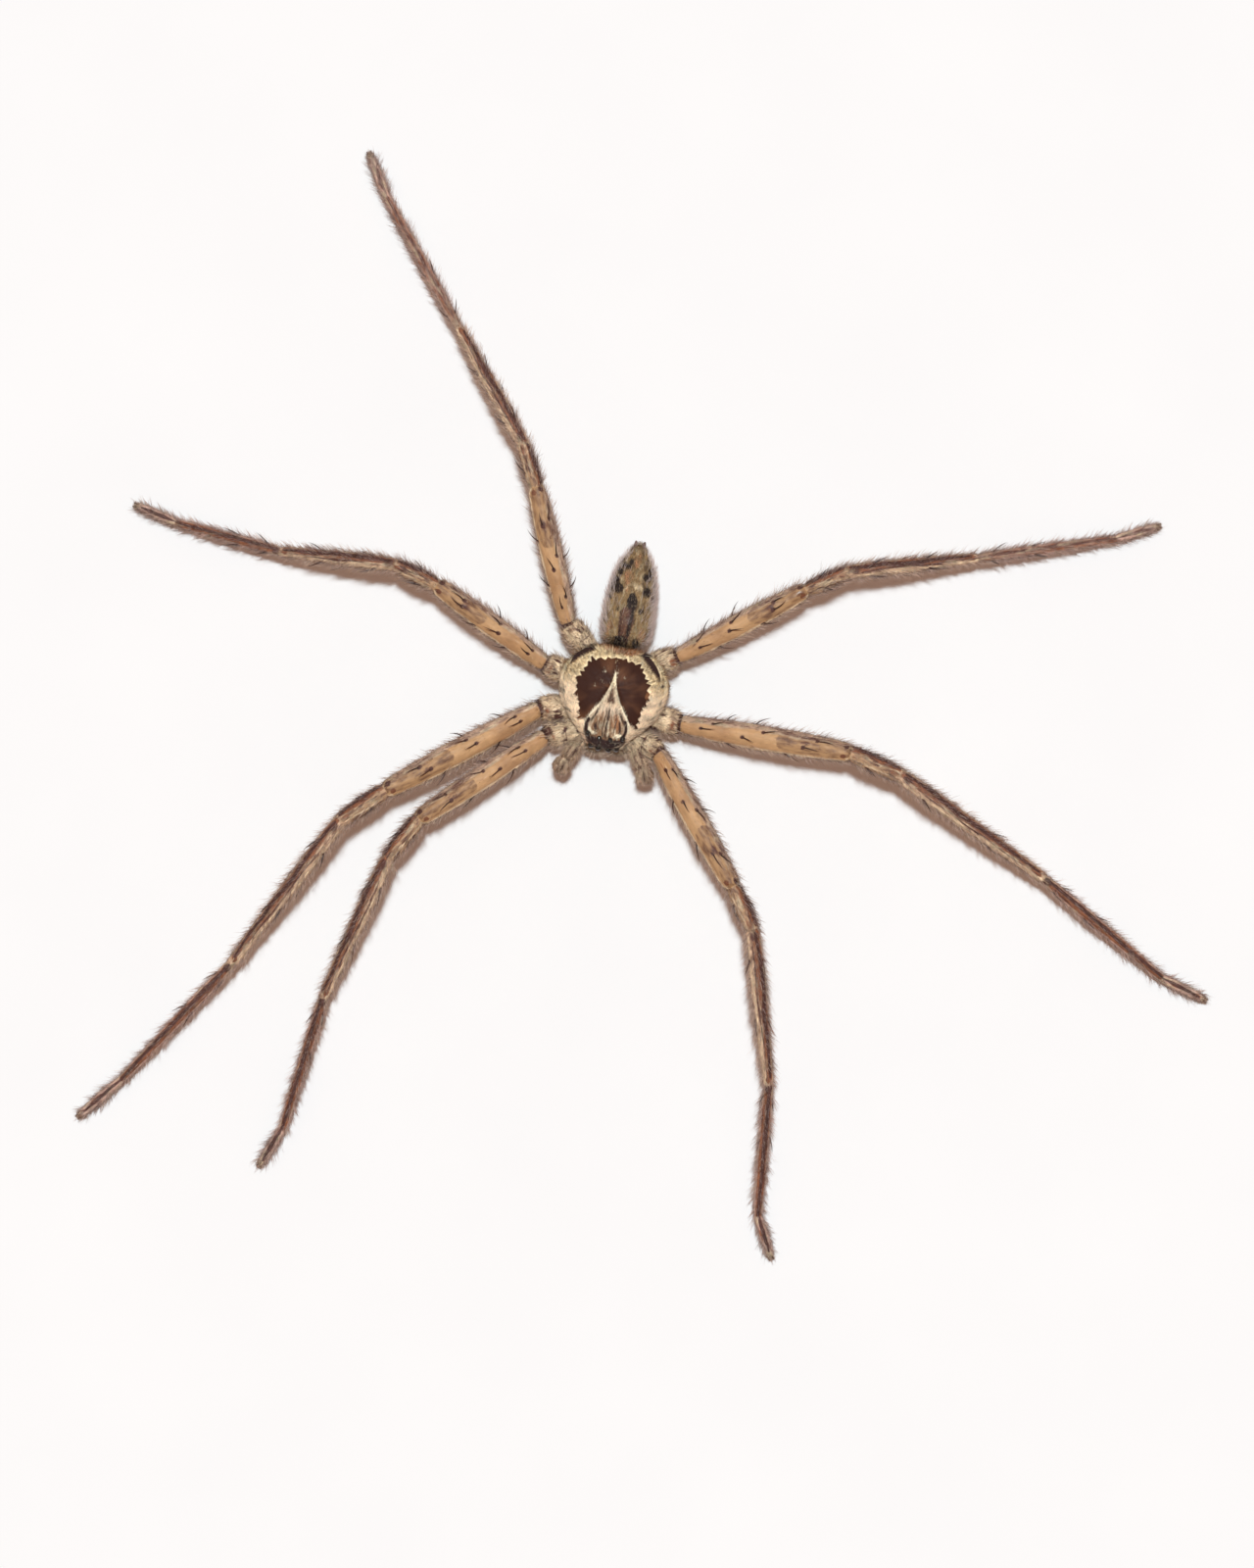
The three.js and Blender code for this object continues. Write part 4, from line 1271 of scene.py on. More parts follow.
CARAPACE_MARKS: dict[str, Marks] = {
    "pale": [
        Stroke(ARM, 0.075, 1.0, 0.9), Stroke(mirrored(ARM), 0.075, 1.0, 0.9),
        Stroke(((0.0, 1.9), (0.0, 1.2)), 0.06, 0.9),
        Stroke(((-0.62, -0.9), (-1.0, -1.6), (-1.2, -2.3), (-1.3, -2.9)), 0.06, 0.7),
        Stroke(((-0.3, -1.3), (-0.42, -2.1), (-0.35, -2.9)), 0.05, 0.62),
        Stroke(((0.1, -1.9), (0.12, -2.5), (0.18, -3.1)), 0.05, 0.8),
        Stroke(((-0.18, -2.0), (-0.2, -2.6), (-0.25, -3.15)), 0.05, 0.75),
        Stroke(((0.7, -1.0), (1.0, -1.7), (1.2, -2.3)), 0.05, 0.62),
        Stroke(((0.62, -2.4), (0.75, -2.9), (0.95, -3.2)), 0.07, 0.75),
        # Pale specks on the dark patches. Those at (-0.84, 1.93), (0.15, 1.95) and (0.79, 1.62) are painted
        # highlights: small glints of the key light on the shell.
        Spot((-0.84, 1.93), (0.11, 0.13), 0.62), Spot((-0.6, 2.2), (0.05, 0.12), 0.5),
        Spot((0.15, 1.95), (0.06, 0.08), 0.75), Spot((0.79, 1.62), (0.1, 0.08), 0.5),
        Spot((-0.8, 1.0), (0.12, 0.06), 0.5), Spot((-1.45, 0.68), (0.1, 0.07), 0.5),
        Spot((-1.3, -2.75), (0.14, 0.3), 0.95, 30), Spot((0.95, -2.95), (0.34, 0.14), 0.95, 20),
        Spot((-0.95, -2.95), (0.26, 0.12), 0.9, 10), Spot((0.15, -2.95), (0.12, 0.2), 0.8),
        Spot((-0.35, -2.2), (0.07, 0.4), 0.6), Spot((0.9, -1.55), (0.06, 0.45), 0.75, 30),
        Spot((-0.9, -1.45), (0.06, 0.4), 0.75, -30),
    ],
    "rust": [
        Blot(APEX, 0.62), Stroke(((-1.5, 3.86), (-0.3, 3.68), (0.7, 3.66), (1.6, 3.84)), 0.24),
        Spot((2.75, 0.5), (0.24, 0.5), 0.45), Spot((0.65, -1.9), (0.42, 0.8), 0.5, 10),
        Spot((-0.55, -1.6), (0.24, 0.7), 0.45, -10),
    ],
    "dark": [
        *CRESCENTS, Stroke(((0.0, 2.05), (0.02, 2.8)), 0.05, 0.8),
        Stroke(((0.0, -0.95), (-0.02, -1.6), (-0.03, -2.2), (-0.03, -3.15)), 0.075, 1.0, 0.8),
        Stroke(((-0.16, -1.1), (-0.24, -1.8), (-0.3, -2.6), (-0.24, -3.1)), 0.05),
        Stroke(((0.2, -1.0), (0.28, -1.8), (0.3, -2.6)), 0.05, 0.8),
        Stroke(((1.36, -1.75), (1.52, -2.25), (1.52, -2.6), (1.36, -3.05)), 0.13),
        Stroke(((-1.5, -1.95), (-1.6, -2.3), (-1.6, -2.75), (-1.46, -3.2)), 0.15),
        Stroke(((-0.82, -1.05), (-1.08, -1.6), (-1.3, -2.05)), 0.08),
        Stroke(((0.84, -1.15), (1.1, -1.6), (1.34, -1.95)), 0.08),
        Stroke(((-0.5, -1.2), (-0.62, -2.0), (-0.6, -2.8)), 0.07, 0.75),
        Stroke(((-1.0, -2.2), (-0.98, -2.6), (-0.8, -3.0)), 0.07, 0.7),
        Stroke(((0.52, -1.0), (0.66, -1.8), (0.6, -2.7)), 0.07, 0.8),
        Stroke(((0.95, -1.9), (1.1, -2.7)), 0.1, 0.8), Spot((-0.85, -2.5), (0.12, 0.36), 0.85, 10),
        Spot((0.3, -3.1), (0.1, 0.16), 0.9), Blot(EYE_BAND, 0.74),
        Stroke(((-1.05, -3.5), (-0.4, -3.7), (0.3, -3.78), (1.0, -3.6)), 0.07, 0.9),
        Stroke(BROW, 0.08, 1.0, 0.7), Blot(APEX, 0.6), Stroke(SIDE_LINE, 0.05, 0.75, 0.4),
        Stroke(mirrored(SIDE_LINE), 0.05, 0.75, 0.4), Spot((-3.86, 1.6), (0.1, 0.18), 0.9),
        Spot((-3.77, -0.25), (0.16, 0.13), 0.85), Spot((3.75, 1.4), (0.15, 0.16), 0.9),
        Spot((3.8, 0.0), (0.06, 0.3), 0.7),
    ],
}


# Abdomen


PLUSH = Pile(25000, 11, length=0.25, width=0.055, lift=14, sway=16)
SIDE_HAIR = Pile(2600, 12, length=0.7, width=0.038, lift=32, joints=3, sway=16, bend=0.5, fade=0.7)
FRONT_HAIR = Pile(1500, 13, length=0.55, width=0.05, lift=115, sway=25)
TAIL_HAIR = Pile(1500, 14, length=0.6, width=0.045, lift=22, sway=25)


@dataclass
class Abdomen:
    """The long oval abdomen, with its waist and spinnerets."""

    stations: Table = (
        (0.0, 1.2, 0.95), (0.05, 1.72, 1.4), (0.13, 2.0, 1.78), (0.28, 2.09, 1.95), (0.43, 2.04, 1.93),
        (0.58, 1.93, 1.78), (0.7, 1.74, 1.55), (0.8, 1.5, 1.25), (0.89, 1.13, 0.92), (0.95, 0.82, 0.68),
        (1.0, 0.52, 0.42),
    )
    length: float = 7.83
    coat: float = 0.16
    rows: int = 130
    sides: int = 112
    spinnerets: Table = (
        (0.3, 0.12, 0.95), (-0.3, 0.12, 0.95), (0.24, -0.28, 0.7), (-0.24, -0.28, 0.7),
    )
    spinneret_radii: Row = (0.22, 0.19, 0.14, 0.06)
    waist: Table = (
        (0.1, 3.3, 3.5), (0.3, 4.0, 3.55), (0.45, 4.6, 3.6), (0.5, 5.2, 3.65),
    )
    waist_radii: Row = (0.5, 0.36, 0.36, 0.5)

    def stand(self, points: Array) -> Array:
        """Points of the abdomen's own frame in the spider's."""
        return turned(points, ABDOMEN_TURN) + np.array(ABDOMEN_FRONT)

    def sac(self) -> Sleeve:
        """The abdomen's skin from front to tip."""
        table = np.array(self.stations)
        t = np.linspace(0, 1, self.rows)
        half = spline(t, table[:, 0], table[:, 1]) - self.coat
        rise = spline(t, table[:, 0], table[:, 2]) - self.coat
        close = rounded(np.minimum(t, 1 - t) * self.length, 0.5)
        angle = ring_angles(self.sides)[None]
        x = np.cos(angle) * (half * close)[:, None]
        z = np.sin(angle) * (rise * close)[:, None]
        y = np.broadcast_to((t * self.length)[:, None], x.shape)
        rings = np.stack([x, y, z], axis=-1)
        rings = rings * (1 + 0.012 * ripple(rings, 1.6, 3)[..., None] * np.array([1, 0, 1]))
        return Sleeve("skin_abdomen", self.stand(rings), self.painted(x, y, np.sin(angle)))

    def painted(self, x: Array, y: Array, rise: Array) -> Fields:
        """The markings of the back, drawn in plan, with paler sides."""
        flat = np.stack([x, y], axis=-1)
        above = np.clip(rise * 4, 0, 1)
        shade = {name: inked(flat, marks, 0.1) * above for name, marks in ABDOMEN_MARKS.items()}
        shade["bare"] = 0.8 * shade["bare"]
        cloud = ripple(np.stack([x, y, x * 0], axis=-1), 0.8, 5)
        shade["zone"] = np.clip(rise * 1.05 + 0.05 * cloud, 0, 1)
        return shade

    def spinneret_horns(self) -> list[Horn]:
        """The four spinnerets, blunt and tapered."""
        horns = []
        root = self.length - 0.5
        for x, z, length in self.spinnerets:
            bends = ((0.7, root), (1.0, root + 0.5), (1.1, root + length * 0.8), (1.2, root + length))
            points = np.array([[x * out, y, z] for out, y in bends])
            horns.append(Horn(self.stand(points), self.spinneret_radii))
        return horns

    def growth(self, shape: tuple[int, int]) -> list[tuple[Pile, Array]]:
        """Each kind of hair on the abdomen and how thickly it stands."""
        side = np.broadcast_to(np.abs(np.cos(ring_angles(self.sides))), shape)
        along = np.broadcast_to(np.linspace(0, 1, self.rows)[:, None], shape)
        return [
            (PLUSH, np.ones(shape)),
            (SIDE_HAIR, side**6 + 0.008),
            (FRONT_HAIR, ramp(along, 0.09, -0.04)),
            (TAIL_HAIR, ramp(along, 0.92, 0.05)),
        ]

    def build(self, finish: SkinFinish) -> None:
        """Builds the abdomen, waist, spinnerets and hair."""
        materials = finish.skin(), finish.coat(), SPINNERET_FINISH.material()
        skin, hair, tip = (Wear(material, "abdomen") for material in materials)
        sac = self.sac()
        sac.build(skin, ["abdomen"])
        horn_piece("spinnerets", self.spinneret_horns(), tip, 12)
        horn_piece("waist", [Horn(np.array(self.waist), self.waist_radii)], tip, 16)
        tufts = Tufts()
        for pile, thick in self.growth(sac.rings.shape[:2]):
            tufts.plant(sac, pile, thick)
        tufts.build("coat_abdomen", hair)


HEART = (
    (-0.5, 0.3), (-0.7, 1.4), (-0.76, 2.5), (-0.4, 2.95), (0.3, 2.8), (0.52, 1.9), (0.44, 1.0), (0.25, 0.3),
)
COLLAR = ((-0.95, 0.3), (-0.6, 0.62), (-0.1, 0.6), (0.3, 0.4), (0.2, -0.1), (-0.4, -0.3), (-0.85, 0.0))
HEART_TIP = ((-0.26, 2.8), (-0.3, 3.5), (-0.05, 4.1), (0.24, 4.0), (0.6, 3.35), (0.46, 2.75))
ABDOMEN_MARKS: dict[str, Marks] = {
    "bare": [Blot(HEART)],
    "dark": [
        Blot(COLLAR), Spot((0.86, 0.3), (0.24, 0.3)), Stroke(((-0.5, 0.8), (-0.6, 2.5)), 0.14, 0.6),
        Stroke(((0.15, 0.7), (0.25, 2.0), (0.3, 2.9)), 0.18, 0.7), Blot(HEART_TIP),
        Spot((-1.14, 4.3), (0.44, 0.42)), Spot((-1.4, 4.92), (0.32, 0.3)),
        Spot((-1.6, 4.2), (0.3, 0.5), 0.6), Spot((1.02, 5.42), (0.38, 0.32)),
        Spot((1.15, 5.95), (0.24, 0.36), 0.7), Spot((1.12, 4.27), (0.32, 0.44)),
        Spot((1.74, 3.6), (0.1, 0.36), 0.95, 25), Spot((1.62, 4.76), (0.08, 0.4), 0.9),
        Spot((1.78, 4.2), (0.08, 0.3), 0.85), Spot((-0.78, 6.12), (0.42, 0.24), 1.0, -15),
        Spot((-0.45, 6.48), (0.17, 0.3), 0.9), Spot((-1.18, 5.6), (0.26, 0.36), 0.9),
        Spot((0.91, 2.68), (0.24, 0.2)), Spot((-1.72, 3.49), (0.16, 0.22), 0.9),
        Spot((-0.94, 2.61), (0.16, 0.14), 0.9), Spot((0.22, 7.75), (0.36, 0.16), 0.85),
        Stroke(((-1.86, 1.7), (-1.84, 1.0), (-1.74, 0.7)), 0.06),
        Stroke(((1.85, 1.5), (1.74, 1.0), (1.6, 0.6)), 0.06, 0.95), Spot((-1.2, 1.3), (0.16, 1.1), 0.4),
        Spot((1.35, 1.9), (0.2, 1.1), 0.42), Spot((-1.0, 3.0), (0.14, 0.5), 0.42, 15),
        Spot((-1.1, 6.5), (0.4, 0.5), 0.42, -20), Spot((0.9, 6.6), (0.2, 0.6), 0.4, 15),
    ],
    "rust": [
        Spot((-0.48, 5.3), (0.4, 0.8), 0.5), Spot((-0.5, 4.4), (0.24, 0.5), 0.42),
        Spot((0.1, 6.6), (0.34, 0.8), 0.42), Spot((-1.3, 0.9), (0.3, 0.8), 0.42),
        Spot((1.2, 0.9), (0.36, 0.8), 0.42),
    ],
    "pale": [
        Spot((0.45, 4.5), (0.36, 0.26), 0.75),
        Stroke(((-0.62, 4.3), (-0.3, 4.66), (0.2, 4.8), (0.66, 4.6), (0.92, 4.0)), 0.1, 0.6),
        Stroke(((0.76, 3.9), (0.84, 3.2), (0.74, 2.5)), 0.13, 0.62),
        Stroke(((-0.66, 4.2), (-0.6, 3.6), (-0.9, 3.1)), 0.14, 0.5), Spot((0.6, 5.4), (0.24, 0.5), 0.5),
        Spot((-0.95, 4.95), (0.16, 0.3), 0.6), Spot((1.3, 4.8), (0.1, 0.3), 0.75),
        Spot((1.0, 1.3), (0.16, 0.8), 0.42), Spot((-0.95, 1.7), (0.12, 0.6), 0.42),
    ],
}


# Limbs


@dataclass(frozen=True)
class Segment:
    """One piece of a leg of build 1: radii at even steps, upward bow and how it is drawn in at its root."""

    name: str
    radii: Row
    bow: float = 0.0
    waist: float = 0.25


SEGMENTS = (
    Segment("coxa", (0.62, 0.7, 0.84, 1.0, 1.06, 0.9), 0.0, 0.0),
    Segment("femur", (0.74, 0.92, 1.0, 1.01, 0.94, 0.78), 0.25, 0.14),
    Segment("patella", (0.68, 0.75, 0.73, 0.66), 0.05, 0.18),
    Segment("tibia", (0.62, 0.7, 0.66, 0.58, 0.5), 0.1, 0.06),
    Segment("metatarsus", (0.43, 0.5, 0.48, 0.44, 0.39), 0.1, 0.14),
    Segment("tarsus", (0.37, 0.43, 0.42, 0.34), 0.0, 0.08),
)


@dataclass(frozen=True)
class Pair:
    """What the two legs of a pair share: build, rise of the spines, dusk of the tips, hip, joint heights."""

    build: float
    spine_rise: float
    dusk: float
    hip: tuple[float, float]
    heights: Row


PAIRS = {
    1: Pair(0.98, 0, 1.15, (0.75, -2.15), (2.95, 3.3, 5.0, 4.8, 2.7, 0.75, 0.4)),
    2: Pair(1.03, 0, 1.0, (0.9, -0.75), (2.95, 3.3, 5.1, 4.9, 2.8, 0.75, 0.4)),
    3: Pair(0.94, 3, 0.9, (0.9, 0.8), (2.95, 3.3, 4.8, 4.6, 2.5, 0.75, 0.4)),
    4: Pair(0.93, 6, 0.7, (0.7, 2.1), (2.95, 3.3, 4.7, 4.5, 2.5, 0.75, 0.4)),
}


class Order(Enum):
    """The pieces of a leg by their place from the body out."""

    COXA = 0
    FEMUR = 1
    PATELLA = 2
    TIBIA = 3
    METATARSUS = 4
    TARSUS = 5


@dataclass(frozen=True)
class SpineRow:
    """Spines in a row: degrees from the leg's top towards its leading side, their lift and places."""

    piece: Order
    around: float
    lift: float
    along: Row


SPINE_ROWS = (
    SpineRow(Order.FEMUR, 10, 24, (0.15, 0.4, 0.74)),
    SpineRow(Order.FEMUR, -26, 26, (0.17, 0.47, 0.78)),
    SpineRow(Order.FEMUR, -74, 44, (0.24, 0.45)),
    SpineRow(Order.FEMUR, 72, 30, (0.3, 0.62)),
    SpineRow(Order.PATELLA, 62, 18, (0.35,)),
    SpineRow(Order.PATELLA, -62, 18, (0.35,)),
    SpineRow(Order.TIBIA, 62, 20, (0.18, 0.6)),
    SpineRow(Order.TIBIA, -62, 20, (0.18, 0.6)),
    SpineRow(Order.TIBIA, 110, 14, (0.4,)),
    SpineRow(Order.TIBIA, -110, 14, (0.4,)),
    SpineRow(Order.METATARSUS, 75, 18, (0.1, 0.4)),
    SpineRow(Order.METATARSUS, -75, 18, (0.1, 0.4)),
)


@dataclass(frozen=True)
class Spine:
    """One spine: its piece, place along and round it, how far it rises, drifts and reaches."""

    piece: Order
    share: float
    around: float
    lift: float
    drift: float
    reach: float


DASH_DRIFT = 0.06
DAB_NUDGE = 0.06


@dataclass(frozen=True)
class Streak:
    """A line on a piece of a leg.

    Its ends are a share of the piece's length and a share of the half turn from the top of the leg,
    greater than 0 towards the leading side. Its half width and its waver are in millimetres.
    """

    paint: str
    start: tuple[float, float]
    end: tuple[float, float]
    half: float
    strength: float = 1.0
    waver: float = 0.0
    thin: float = 0.6

    def marks(self, length: float, around: float, rng: Draws) -> Marks:
        """The line in millimetres along the piece and round it."""
        share = np.linspace(0, 1, 8 if self.waver else 2)
        along = (self.start[0] + (self.end[0] - self.start[0]) * share) * length
        across = (self.start[1] + (self.end[1] - self.start[1]) * share) * around
        across = across + rng.uniform(-self.waver, self.waver, len(share))
        return [Stroke(tuple(zip(along.tolist(), across.tolist())), self.half, thin=self.thin)]


@dataclass(frozen=True)
class Dashes:
    """Short lines strewn along a piece of a leg, between two shares of the half turn from its top."""

    paint: str
    number: int
    span: tuple[float, float]
    reach: float
    half: float
    strength: float

    def marks(self, length: float, around: float, rng: Draws) -> Marks:
        """The lines in millimetres along the piece and round it."""
        lines = []
        low, high = (0, self.span[0], 0.5, -DASH_DRIFT), (1, self.span[1], 1, DASH_DRIFT)
        for start, across, reach, drift in rng.uniform(low, high, (self.number, 4)):
            begin = (start * length, across * around)
            finish = (start * length + reach * self.reach, (across + drift) * around)
            lines.append(Stroke((begin, finish), self.half, thin=0.3))
        return lines


@dataclass(frozen=True)
class Dab:
    """An oval on a piece of a leg, placed as a streak's end is, with half sizes in millimetres."""

    paint: str
    place: tuple[float, float]
    halves: tuple[float, float]
    strength: float = 1.0

    def marks(self, length: float, around: float, rng: Draws) -> Marks:
        """The oval in millimetres along the piece and round it, moved a little from leg to leg."""
        nudge = rng.uniform(-DAB_NUDGE, DAB_NUDGE, 2)
        centre = (self.place[0] * length + nudge[0], self.place[1] * around + nudge[1])
        return [Spot(centre, self.halves)]


LEG_MARKS: dict[Order, tuple[Streak | Dab | Dashes, ...]] = {
    Order.COXA: (
        Streak("dark", (1.0, -1.0), (1.0, 1.0), 0.12, 1.0, 0.05, 1.0),
        Streak("dark", (0.62, -0.6), (0.66, 0.6), 0.08, 0.8, 0.1),
        Streak("pale", (0.76, -0.5), (0.78, 0.5), 0.16, 0.85, 0.1),
        Dab("rust", (0.9, 0.12), (0.2, 0.4), 0.6), Dashes("pale", 10, (-0.5, 0.5), 0.8, 0.14, 0.9),
        Dashes("dark", 9, (-0.5, 0.5), 0.7, 0.1, 0.9),
    ),
    Order.FEMUR: (
        Streak("dark", (0.0, -1.0), (0.0, 1.0), 0.06, 0.9, 0.0, 1.0),
        Streak("bare", (0.0, 0.1), (0.98, 0.1), 0.74, 1.0, 0.1, 0.85),
        Streak("pale", (0.03, 0.42), (0.98, 0.38), 0.2, 0.75, 0.06),
        Streak("dark", (0.62, -0.3), (0.97, -0.24), 0.12, 0.55, 0.1),
        Streak("dark", (0.72, 0.16), (0.95, 0.1), 0.07, 0.55, 0.05),
        Dashes("dark", 9, (-0.4, 0.4), 1.2, 0.04, 0.42),
        Dashes("rust", 7, (-0.3, 0.35), 1.6, 0.09, 0.42),
        Dashes("pale", 9, (-0.5, 0.45), 1.2, 0.05, 0.5), Dab("rust", (0.74, 0.0), (0.45, 0.3), 0.5),
        Dab("dark", (0.74, 0.0), (0.2, 0.12), 0.7),
        Streak("dark", (0.62, 0.0), (0.97, 0.0), 0.8, 0.47, 0.05, 0.9),
        Dab("dark", (0.975, -0.2), (0.2, 0.3), 1.0), Dab("rust", (0.965, 0.14), (0.24, 0.24), 1.0),
        Dab("pale", (0.99, 0.28), (0.16, 0.12), 1.0),
    ),
    Order.PATELLA: (
        Streak("dark", (0.0, -0.34), (0.95, -0.28), 0.26, 0.9, 0.1),
        Streak("rust", (0.0, -0.2), (0.95, -0.2), 0.3, 0.75, 0.05),
        Streak("pale", (0.1, 0.22), (0.95, 0.16), 0.1, 0.62, 0.03),
        Dashes("dark", 8, (-0.3, 0.45), 1.3, 0.07, 0.9), Dashes("pale", 3, (-0.2, 0.4), 1.1, 0.06, 0.6),
        Dab("rust", (0.9, 0.05), (0.45, 0.26), 0.6),
    ),
    Order.TIBIA: (
        Streak("rust", (0.0, -0.16), (0.95, -0.14), 0.36, 0.7, 0.06, 0.9),
        Streak("dark", (0.02, -0.18), (0.95, -0.14), 0.19, 0.9, 0.12, 0.7),
        Streak("dark", (0.1, 0.08), (0.97, 0.05), 0.07, 0.9, 0.08),
        Streak("pale", (0.04, 0.25), (0.97, 0.2), 0.09, 0.62, 0.06, 0.9),
        Dashes("dark", 12, (-0.42, 0.42), 1.9, 0.05, 0.66),
        Dashes("pale", 9, (-0.35, 0.4), 1.5, 0.05, 0.72), Dashes("rust", 6, (-0.4, 0.3), 1.6, 0.1, 0.6),
        Dab("dark", (0.04, -0.05), (0.45, 0.3), 0.62), Dab("rust", (0.965, 0.0), (0.28, 0.26), 0.9),
        Dab("pale", (0.99, 0.16), (0.2, 0.14), 0.95),
    ),
    Order.METATARSUS: (
        Streak("rust", (0.05, 0.0), (1.0, 0.0), 0.36, 0.75, 0.05, 0.9),
        Streak("dark", (0.0, -0.06), (1.0, -0.04), 0.17, 0.8, 0.06, 0.9),
        Dashes("dark", 7, (-0.3, 0.25), 2.0, 0.07, 0.7), Dashes("rust", 6, (-0.2, 0.2), 1.8, 0.09, 0.8),
        Dashes("pale", 5, (-0.45, 0.45), 1.4, 0.05, 0.5), Dab("dark", (0.02, 0.0), (0.45, 0.4), 0.7),
        Dab("rust", (0.98, 0.0), (0.2, 0.2), 0.8),
    ),
    Order.TARSUS: (
        Streak("dark", (0.0, -0.05), (0.88, 0.0), 0.16, 0.8, 0.03),
        Dashes("rust", 3, (-0.2, 0.2), 1.2, 0.07, 0.7), Dab("pale", (0.98, 0.0), (0.25, 0.3), 0.7),
    ),
}
SOCKET = (0.2, 0.15)
BARE_BLUR = 0.3
MARK_BLUR = 0.07

# Dark spots on the hips, in plan: centre, half sizes and turn.
HIP_SPOTS = (
    ((-5.02, 0.1), (0.42, 0.2), 15), ((-3.92, -1.94), (0.44, 0.18), -6), ((-3.46, 0.06), (0.18, 0.2), 0),
    ((3.69, 1.37), (0.2, 0.26), 0), ((4.48, -0.09), (0.46, 0.2), -15), ((3.48, -2.07), (0.4, 0.26), -12),
    ((3.95, -2.79), (0.26, 0.15), -10), ((-2.2, -2.85), (0.3, 0.22), 30), ((-3.34, -2.96), (0.22, 0.14), 60),
    ((-4.48, -3.1), (0.12, 0.42), 20), ((-5.38, -1.42), (0.12, 0.36), 20), ((4.55, 4.55), (0.36, 0.14), 0),
    ((2.0, 4.5), (0.2, 0.12), 0), ((-3.5, 0.28), (0.16, 0.16), 0), ((-3.84, 1.88), (0.14, 0.16), 0),
    ((2.03, -3.62), (0.2, 0.3), 0),
)


# What is added to the seed for each pair and for the left side.
PAIR_SEED = 40
LEFT_SEED = 20

# How far spines stray from their rows: share of the piece, degrees round it, lift, drift and reach.
STRAY_ALONG = 0.03
STRAY_AROUND = 7
STRAY_LIFT = (-9, 12)
STRAY_DRIFT = 0.3
SPINE_REACH = (1.1, 1.6)

LEG_NAP = Pile(23000, 2, length=0.26, width=0.046, lift=9, sway=9)
STUMP_NAP = replace(LEG_NAP, number=2000)
HIP_SHAG = Pile(600, 3, length=0.36, width=0.06, lift=26, joints=2, sway=26, bend=0.5)
LEG_FRINGE = Pile(6500, 4, length=0.45, width=0.042, lift=34, vary=0.4, fade=0.5)
LEG_WHISKERS = Pile(110, 5, length=1.1, width=0.022, lift=50, joints=3, sway=24, bend=0.5)
FOOT_PAD = Pile(2600, 6, length=0.34, width=0.035, lift=50, sway=20)
FOOT_BRUSH = Pile(700, 7, length=0.5, width=0.035, lift=12, sway=26)
LEG_COMB = Pile(1500, 8, length=0.85, width=0.06, lift=40, joints=2, sway=10, bend=0.3, fade=0.55)


